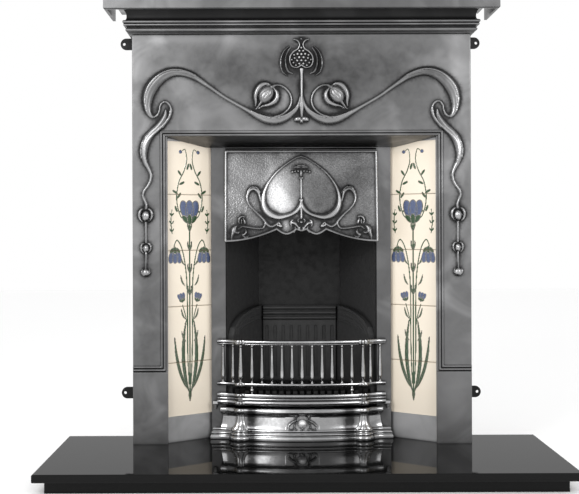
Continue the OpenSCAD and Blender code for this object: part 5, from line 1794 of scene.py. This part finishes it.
@dataclass
class GrateFront(Assembly):
    """Moulded rails, ribbed bosses, corner posts and turned balusters of the grate."""

    plan: GratePlan = field(default_factory=GratePlan)
    low: float = 94.7
    low_top: float = 126.5
    mid: float = 147.5
    mid_top: float = 156.5
    top: float = 261.0
    top_top: float = 274.5
    count: int = 11
    pitch: float = 27.4
    boss: float = 16.2

    def build(self) -> None:
        """Builds the rails, the posts, the spacers, the end blocks and the balusters."""
        pieces = [
            self.rail("grate_rail_top", self.top_section()),
            self.rail("grate_rail_middle", self.middle_section()),
            self.rail("grate_rail_low", self.low_section()), self.bosses(),
            turned("grate_corner_posts", self.post(6.6), self.corners(), sharp=50.0), self.spacers()]
        for s, word in ((-1, "left"), (1, "right")):
            x = sorted((s * (self.plan.end_x - 2), s * (self.plan.end_x + 13)))
            pieces.append(
                slab(
                    f"grate_end_block_{word}", (x[0], self.plan.end_y - 6, self.low),
                    (x[1], self.plan.end_y + 7, self.low + 9), 1.2))
        for k, piece in enumerate(pieces):
            self.settle(
                piece, Body.FRONT_BARS, Slot.BRIGHT, self.finishes.bright,
                *(["grate_front"] if k == 0 else []))
        across = [(k - (self.count - 1) / 2) * self.pitch for k in range(self.count)]
        centres = [(x, float(self.plan.front(x))) for x in across]
        for share in (0.22, 0.63):
            x, y = self.plan.on_cove(share)
            centres += [(x, y), (-x, y)]
        piece = turned("grate_turned_balusters", self.post(5.2), centres, sharp=50.0)
        self.settle(piece, Body.FRONT_BARS, Slot.BRIGHT, self.finishes.bright, "grate_balusters")

    def corners(self) -> Line:
        """Middles of the two corner posts."""
        return [(s * self.plan.corner, self.plan.corner_y) for s in (-1, 1)]

    def rail(self, name: str, section: Knots) -> Piece:
        """Sweeps a rail along the plan."""
        return swept(name, section, lambda out: self.plan.whole(out, self.plan.end_x))

    def top_section(self) -> Line:
        """Section of the top rail: a soft roll over a small quirk."""
        z = self.top
        return [
            (-7, z + 4), (-7, z + 10), (-6, z + 12.4), (-3.5, z + 13.5), (2.5, z + 13.5), (5.2, z + 12.6),
            (6.8, z + 10.6), (7, z + 8), (6.6, z + 5.6), (5.4, z + 3.8), (5.0, z + 3.0), (5.4, z + 2.0),
            (5.0, z + 0.6), (4.0, z), (-5, z), (-6.4, z + 1.6)]

    def middle_section(self) -> Line:
        """Section of the middle rail: a narrow roll."""
        z = self.mid
        return [
            (-6, z + 2), (-6, z + 7), (-4.4, z + 9), (3.4, z + 9), (5.2, z + 8), (6, z + 6), (6, z + 4.4),
            (5.2, z + 2.6), (4.4, z + 2), (4.2, z + 1), (3.4, z), (-4.4, z)]

    def low_section(self) -> Line:
        """Section of the lowest rail: a bead, a hollow with a ridge, and a broad roll."""
        z = self.low
        return [
            (-6, z + 2), (-6, z + 30), (-4, self.low_top), (3.6, self.low_top), (6.0, z + 31.0),
            (7.0, z + 28.8), (6.8, z + 26.2), (5.2, z + 24.4), (3.0, z + 23.8), (2.4, z + 22.0),
            (3.4, z + 20.4), (5.0, z + 19.4), (5.6, z + 17.8), (5.0, z + 16.2), (3.2, z + 15.4),
            (2.6, z + 14.2), (3.6, z + 13.0), (6.0, z + 12.2), (7.5, z + 10.0), (7.7, z + 7.0),
            (7.0, z + 3.6), (5.2, z + 1.2), (3.0, z), (-4, z)]

    def bosses(self) -> Piece:
        """Builds the ribbed cushions on the corners of each rail."""
        r, z = self.boss, self.low
        stack = [
            (5, z + 0.4), (r - 1.5, z + 0.6), (r, z + 3.5), (r, z + 9), (r - 2.5, z + 12.4), (8.5, z + 13.4),
            (8.0, z + 16), (9.0, z + 18), (8.0, z + 20), (8.5, z + 22.6), (r - 2.5, z + 23.8),
            (r - 0.8, z + 26), (r - 0.8, z + 29), (r - 2.6, self.low_top + 0.4), (5, self.low_top + 0.6)]
        middle = [
            (5, self.mid - 0.6), (r - 3.0, self.mid), (r - 1.2, self.mid + 2.4), (r - 1.2, self.mid + 6.4),
            (r - 3.0, self.mid_top + 0.4), (5, self.mid_top + 0.8)]
        top = [
            (5, self.top - 0.6), (r - 2.4, self.top), (r - 0.4, self.top + 3), (r, self.top + 9),
            (r - 1.6, self.top_top - 0.6), (r - 4, self.top_top), (4, self.top_top)]
        points, faces = [], []
        for section in (stack, middle, top):
            piece = turned("part", section, self.corners(), sides=96, lobes=4, groove=0.24, sharp=60.0)
            start = len(points)
            points += [tuple(v.co / MM) for v in piece.data.vertices]
            faces += [[start + i for i in poly.vertices] for poly in piece.data.polygons]
            bpy.data.objects.remove(piece)
        return mesh_object("grate_corner_bosses", np.array(points), faces, sharp=50.0)

    def spacers(self) -> Piece:
        """Builds the two beaded struts between the lowest and the middle rail."""
        x = (self.count - 1) / 2 * self.pitch
        z0, z1 = self.low_top - 1, self.mid + 1
        m = (z0 + z1) / 2
        section = [
            (2.5, z0), (2.6, m - 5.4), (3.8, m - 4.0), (5.0, m - 1.6), (5.0, m + 1.6), (3.8, m + 4.0),
            (2.6, m + 5.4), (2.5, z1)]
        return turned("grate_spacers", section, [(s * x, float(self.plan.front(x))) for s in (-1, 1)])

    def post(self, r: float) -> Line:
        """Outline of a baluster of radius r: slim at the top, full low down, with a bead at the foot."""
        height = self.top - self.mid_top
        shares = [
            (0.82, 0), (0.84, 0.016), (0.74, 0.03), (0.42, 0.05), (0.44, 0.068), (0.8, 0.11), (0.98, 0.16),
            (1, 0.22), (0.97, 0.3), (0.84, 0.44), (0.66, 0.64), (0.53, 0.84), (0.5, 0.92), (0.64, 0.945),
            (0.72, 0.965), (0.64, 0.985), (0.68, 1)]
        line = smooth_path([(r * a, height * b) for a, b in shares], 1.2)
        return [(max(1.0, float(x)), self.mid_top + min(height, max(0.0, float(z)))) for x, z in line]


@dataclass
class AshCover(Assembly):
    """Ash cover: stepped base, hollow body under a rounded lip, ribbed trumpets, knob and looped medallion.

    Attributes:
        end: Half the width of the lip.
        base_end: Half the width of the base.
        back: Depth at which it meets the fire frame.
        inside: Out value of its inner face.
    """

    plan: GratePlan = field(default_factory=GratePlan)
    end: float = 225.0
    base_end: float = 252.0
    back: float = 93.7
    inside: float = -5.0
    body_line: Line = (
        (10.6, 31), (9.6, 32.4), (8.4, 35), (7.2, 39), (6.2, 44), (5.2, 50), (4.3, 56), (3.6, 62), (3.4, 66),
        (4.4, 69), (7.4, 70.6))

    def build(self) -> None:
        """Builds the cover over its CAD solid's space."""
        bright = self.finishes.bright
        body = Body.ASH_FRONT
        self.settle(self.hollow("ash_cover_cove"), body, Slot.BRIGHT, bright, "ash_cover")
        self.settle(self.base("ash_cover_base"), body, Slot.BRIGHT, bright)
        corners = [(s * self.plan.corner, self.plan.corner_y + 1) for s in (-1, 1)]
        self.settle(
            turned("ash_cover_plinths", self.plinth(), corners, sides=96, sharp=45), body, Slot.BRIGHT,
            bright)
        self.settle(
            turned("ash_cover_caps", self.cap(), corners, sides=96, sharp=45), body, Slot.BRIGHT, bright)
        fronts = [(x, y - 4.5) for x, y in corners]
        self.settle(
            turned("ash_cover_trumpets", self.trumpet(), fronts, sides=120, lobes=3, groove=0.17, sharp=60),
            body, Slot.BRIGHT, bright)
        self.settle(self.medallion(), body, Slot.BRIGHT, bright)
        self.keep(self.finishes.knob, ["ash_knob"])

    @staticmethod
    def paint_light(x: float | Grid) -> float | Grid:
        """Painted light across the cover: a painted reflection bright beside the knob and painted shade
        beside the trumpets.
        """
        # Painted reflections: middle, width and amount.
        patches = (
            (-82, 38, 1.25), (-137, 19, -1.2), (60, 40, -0.12), (130, 22, -1.1), (205, 26, -0.4),
            (-205, 22, -0.2))
        return sum(amount * np.exp(-(((x - middle) / width) ** 2)) for middle, width, amount in patches)

    def hollow(self, name: str) -> Piece:
        """Sweeps the lip and the hollow body."""
        profile = [
            (self.inside, 29.0), (9, 29), *self.body_line, (8.6, 71.2), (9, 71.8), (10, 72.6), (10.9, 75),
            (11.2, 79.6), (10.9, 83), (9.6, 86.2), (7.2, 87.8), (4, 88), (self.inside, 88.0)]

        def ring(out: float) -> Line:
            """Plan of the cover for an out value, its ends following the profile."""
            end = self.end - 11.2 + max(out, 0.0)
            return [(-end, self.back), *self.plan.whole(out, end), (end, self.back)]

        # Painted reflections across the cover.
        return swept(name, profile, ring, tone=self.paint_light)

    def base(self, name: str) -> Piece:
        """Sweeps the stepped base."""
        profile = [
            (self.inside, 0.4), (16, 0.4), (17, 1.4), (17, 8), (16.4, 10.4), (15, 12), (13, 12.8),
            (12.6, 13.8), (13.8, 15), (14.6, 17.2), (14, 19.6), (12.4, 21.2), (10.6, 22), (10, 23.2),
            (11, 24.6), (11.6, 26.6), (11.2, 28.8), (10, 30.6), (8.6, 31.4), (self.inside, 31.4)]

        def ring(out: float) -> Line:
            """Plan of the base for an out value."""
            end = self.base_end - 17.0 + max(out, 0.0)
            line = self.plan.whole(out, min(end, self.plan.end_x))
            return [(-end, self.back), (-end, line[0][1]), *line, (end, line[-1][1]), (end, self.back)]

        # Painted reflections across the cover.
        return swept(name, profile, ring, tone=self.paint_light)

    def plinth(self) -> Line:
        """Outline of the round plinth under a corner."""
        return [
            (30.4, 0.4), (31.8, 0.6), (32.4, 1.8), (32.4, 8), (31.6, 10.6), (30.2, 12.2), (28.8, 12.8),
            (28.4, 13.8), (29.6, 15), (30.2, 17.2), (29.6, 19.6), (28, 21.4), (26.6, 22), (26.2, 23.2),
            (27.2, 24.8), (27.6, 26.6), (27.2, 28.8), (25.8, 30.6), (23, 31.6), (16, 31.8)]

    def cap(self) -> Line:
        """Outline of the round cap over a corner."""
        return [
            (12, 70), (14.6, 71.6), (15.8, 73.4), (17.2, 75), (18, 78), (18, 82), (17.2, 85.4), (15.4, 87.4),
            (12, 88)]

    def trumpet(self) -> list[tuple[float, float, float]]:
        """Half widths and half depths of a ribbed trumpet, from its foot to the lip."""
        line = [
            (26.4, 31, 19), (24.6, 33.6, 18), (21, 37.4, 16.4), (16.8, 42.6, 13.8), (13.6, 49, 11.6),
            (11.4, 57, 9.8), (10.4, 65, 9), (10.8, 72.5, 9.2)]
        rows = smooth_path(line, 1.0)
        return [tuple(map(float, row)) for row in rows]

    def medallion(self) -> Piece:
        """Builds the looped ornament round the knob."""
        half_w, low, middle, high, pitch = 48.0, 31.5, 50.0, 71.5, 0.7
        xs, zs = np.arange(-half_w, half_w + 0.1, pitch), np.arange(low, high, pitch)
        relief = Relief(xs, zs)
        # Graphite and painted shade on the ground within and round the loops.
        relief.shade(0.0, middle, 30.0, 17.0, 0.75)
        lyre = [
            (17.6, 64.6, 1.3, 3.2), (20.8, 64, 1.8, 4.2), (21.2, 67.4, 1.8, 4.4), (16.8, 67.6, 1.6, 4.2),
            (14.2, 62.5, 1.4, 4.2), (13.4, 57, 1.5, 4.4), (16.4, 52, 1.6, 4.6), (20.4, 46, 1.7, 4.8),
            (22, 40, 1.7, 4.8), (20.2, 35, 1.6, 4.4), (14.6, 32.8, 1.3, 3.8)]
        relief.ridge(lyre, power=0.7)
        loop = [
            (15, 59, 1.6, 5), (20, 56, 2.1, 6), (28, 51.6, 2.5, 6.6), (35.4, 46.2, 2.6, 6.8),
            (39.4, 40, 2.6, 6.8), (37.4, 34.4, 2.4, 6.2), (31, 32.4, 2, 5.6), (25, 34, 1.7, 5)]
        relief.ridge(loop, power=0.7)
        relief.petal(0.0, 36.6, 5.0, 4.2, 0, 6.4, mirror=False)
        looks = relief.looks(near=3, far=6, full=1.8)
        x, z = np.meshgrid(xs, zs)
        near = np.hypot(x / half_w, (z - middle) / 23.0)
        looks["patina_and_shade"] *= np.clip(3.2 - 3 * near, 0, 1)
        # Painted reflections across the cover.
        looks["tone"] = self.paint_light(x)
        reach = np.clip(np.minimum(half_w - np.abs(x), np.minimum(z - low, high - z)) / 2.0, 0, 1)
        bed = np.interp(z, [row[1] for row in self.body_line], [row[0] for row in self.body_line])
        y = self.plan.front(x) - bed - relief.height - 0.9 * reach + 0.6
        front = np.stack([x, y, z + HEARTH_TOP], axis=2)
        back = np.stack([x, self.plan.front(x) - bed + 1.6, z + HEARTH_TOP], axis=2)
        return shell("ash_cover_medallion", front, back, np.ones((len(zs) - 1, len(xs) - 1), bool), looks)


# ---------------------------------------------------------------- stage


@dataclass
class Studio:
    """White studio with soft lamps, and the camera of the photograph.

    Attributes:
        focal_px: Focal length in pixels of the photograph.
        width_px: Width of the photograph.
        place: Camera's place in metres.
        shift: Shift of the frame, as shares of its width.
        roll: Roll in degrees.
    """

    focal_px: float = 1149.0
    width_px: float = 579.0
    place: tuple[float, float, float] = (-0.086, -3.1, 0.626)
    shift: Spot = (0.0336, -0.029)
    roll: float = 0.2

    def build(self) -> None:
        """Sets the camera, the lamps, the world and the floor."""
        bpy.context.scene.view_settings.view_transform = "Standard"
        self.camera()
        self.world()
        self.floor()
        self.lamp("key_softbox", (-1.7, -2.9, 1.9), (0, 0, 0.6), 1.2, 56.0)
        self.lamp("fill_softbox", (1.9, -2.8, 1.5), (0, 0, 0.6), 1.0, 28.0)

    def camera(self) -> None:
        """Sets the photograph's camera."""
        data = bpy.data.cameras.new("photo_camera")
        data.sensor_width = 36.0
        data.lens = data.sensor_width * self.focal_px / self.width_px
        data.shift_x, data.shift_y = self.shift
        camera = bpy.data.objects.new("photo_camera", data)
        camera.location = self.place
        camera.rotation_euler = (math.radians(90), math.radians(self.roll), 0)
        bpy.context.scene.collection.objects.link(camera)
        bpy.context.scene.camera = camera

    def lamp(
        self, name: str, place: Sequence[float], aim: Sequence[float], size: float, watts: float,
    ) -> None:
        """Hangs a square softbox at a place in metres, of a side in metres, that faces its aim."""
        data = bpy.data.lights.new(name, "AREA")
        data.shape, data.size, data.energy = "SQUARE", size, watts
        lamp = bpy.data.objects.new(name, data)
        lamp.location = place
        lamp.rotation_euler = (Vector(aim) - Vector(place)).to_track_quat("-Z", "Y").to_euler()
        bpy.context.scene.collection.objects.link(lamp)

    def world(self) -> None:
        """Makes the room white, for the camera and for the mirrors alike."""
        world = bpy.data.worlds.new("white_room")
        bpy.context.scene.world = world
        world.use_nodes = True
        sky = world.node_tree.nodes["Background"]
        sky.inputs["Color"].default_value = (1, 1, 1, 1)
        sky.inputs["Strength"].default_value = 1.0

    def floor(self) -> None:
        """Lays the pale floor."""
        size = 9000.0
        points = np.array([(-size, -size, 0), (size, -size, 0), (size, size, 0), (-size, size, 0)], float)
        floor = mesh_object("studio_floor", points, [(0, 1, 2, 3)])
        material = bpy.data.materials.new("studio_white")
        material.use_nodes = True
        surface = material.node_tree.nodes["Principled BSDF"]
        surface.inputs["Base Color"].default_value = (0.97, 0.97, 0.97, 1)
        surface.inputs["Roughness"].default_value = 0.8
        floor.data.materials.append(material)


def main() -> None:
    """Builds the finishes, the studio and the sub-assemblies in order."""
    logging.basicConfig(level=logging.INFO, format="%(message)s")
    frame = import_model()
    nodes: dict[str, Piece] = frame["nodes"]
    finishes = Finishes()
    Studio().build()
    parts: list[Assembly] = [
        Hearth(nodes, finishes), Surround(nodes, finishes), Shelf(nodes, finishes),
        TileCheek(nodes, finishes, side=-1), TileCheek(nodes, finishes, side=1), Hood(nodes, finishes),
        FireFrame(nodes, finishes), GrateFront(nodes, finishes), AshCover(nodes, finishes)]
    for part in parts:
        part.build()
        log.info("%s is built", type(part).__name__)


if __name__ == "__main__":
    main()
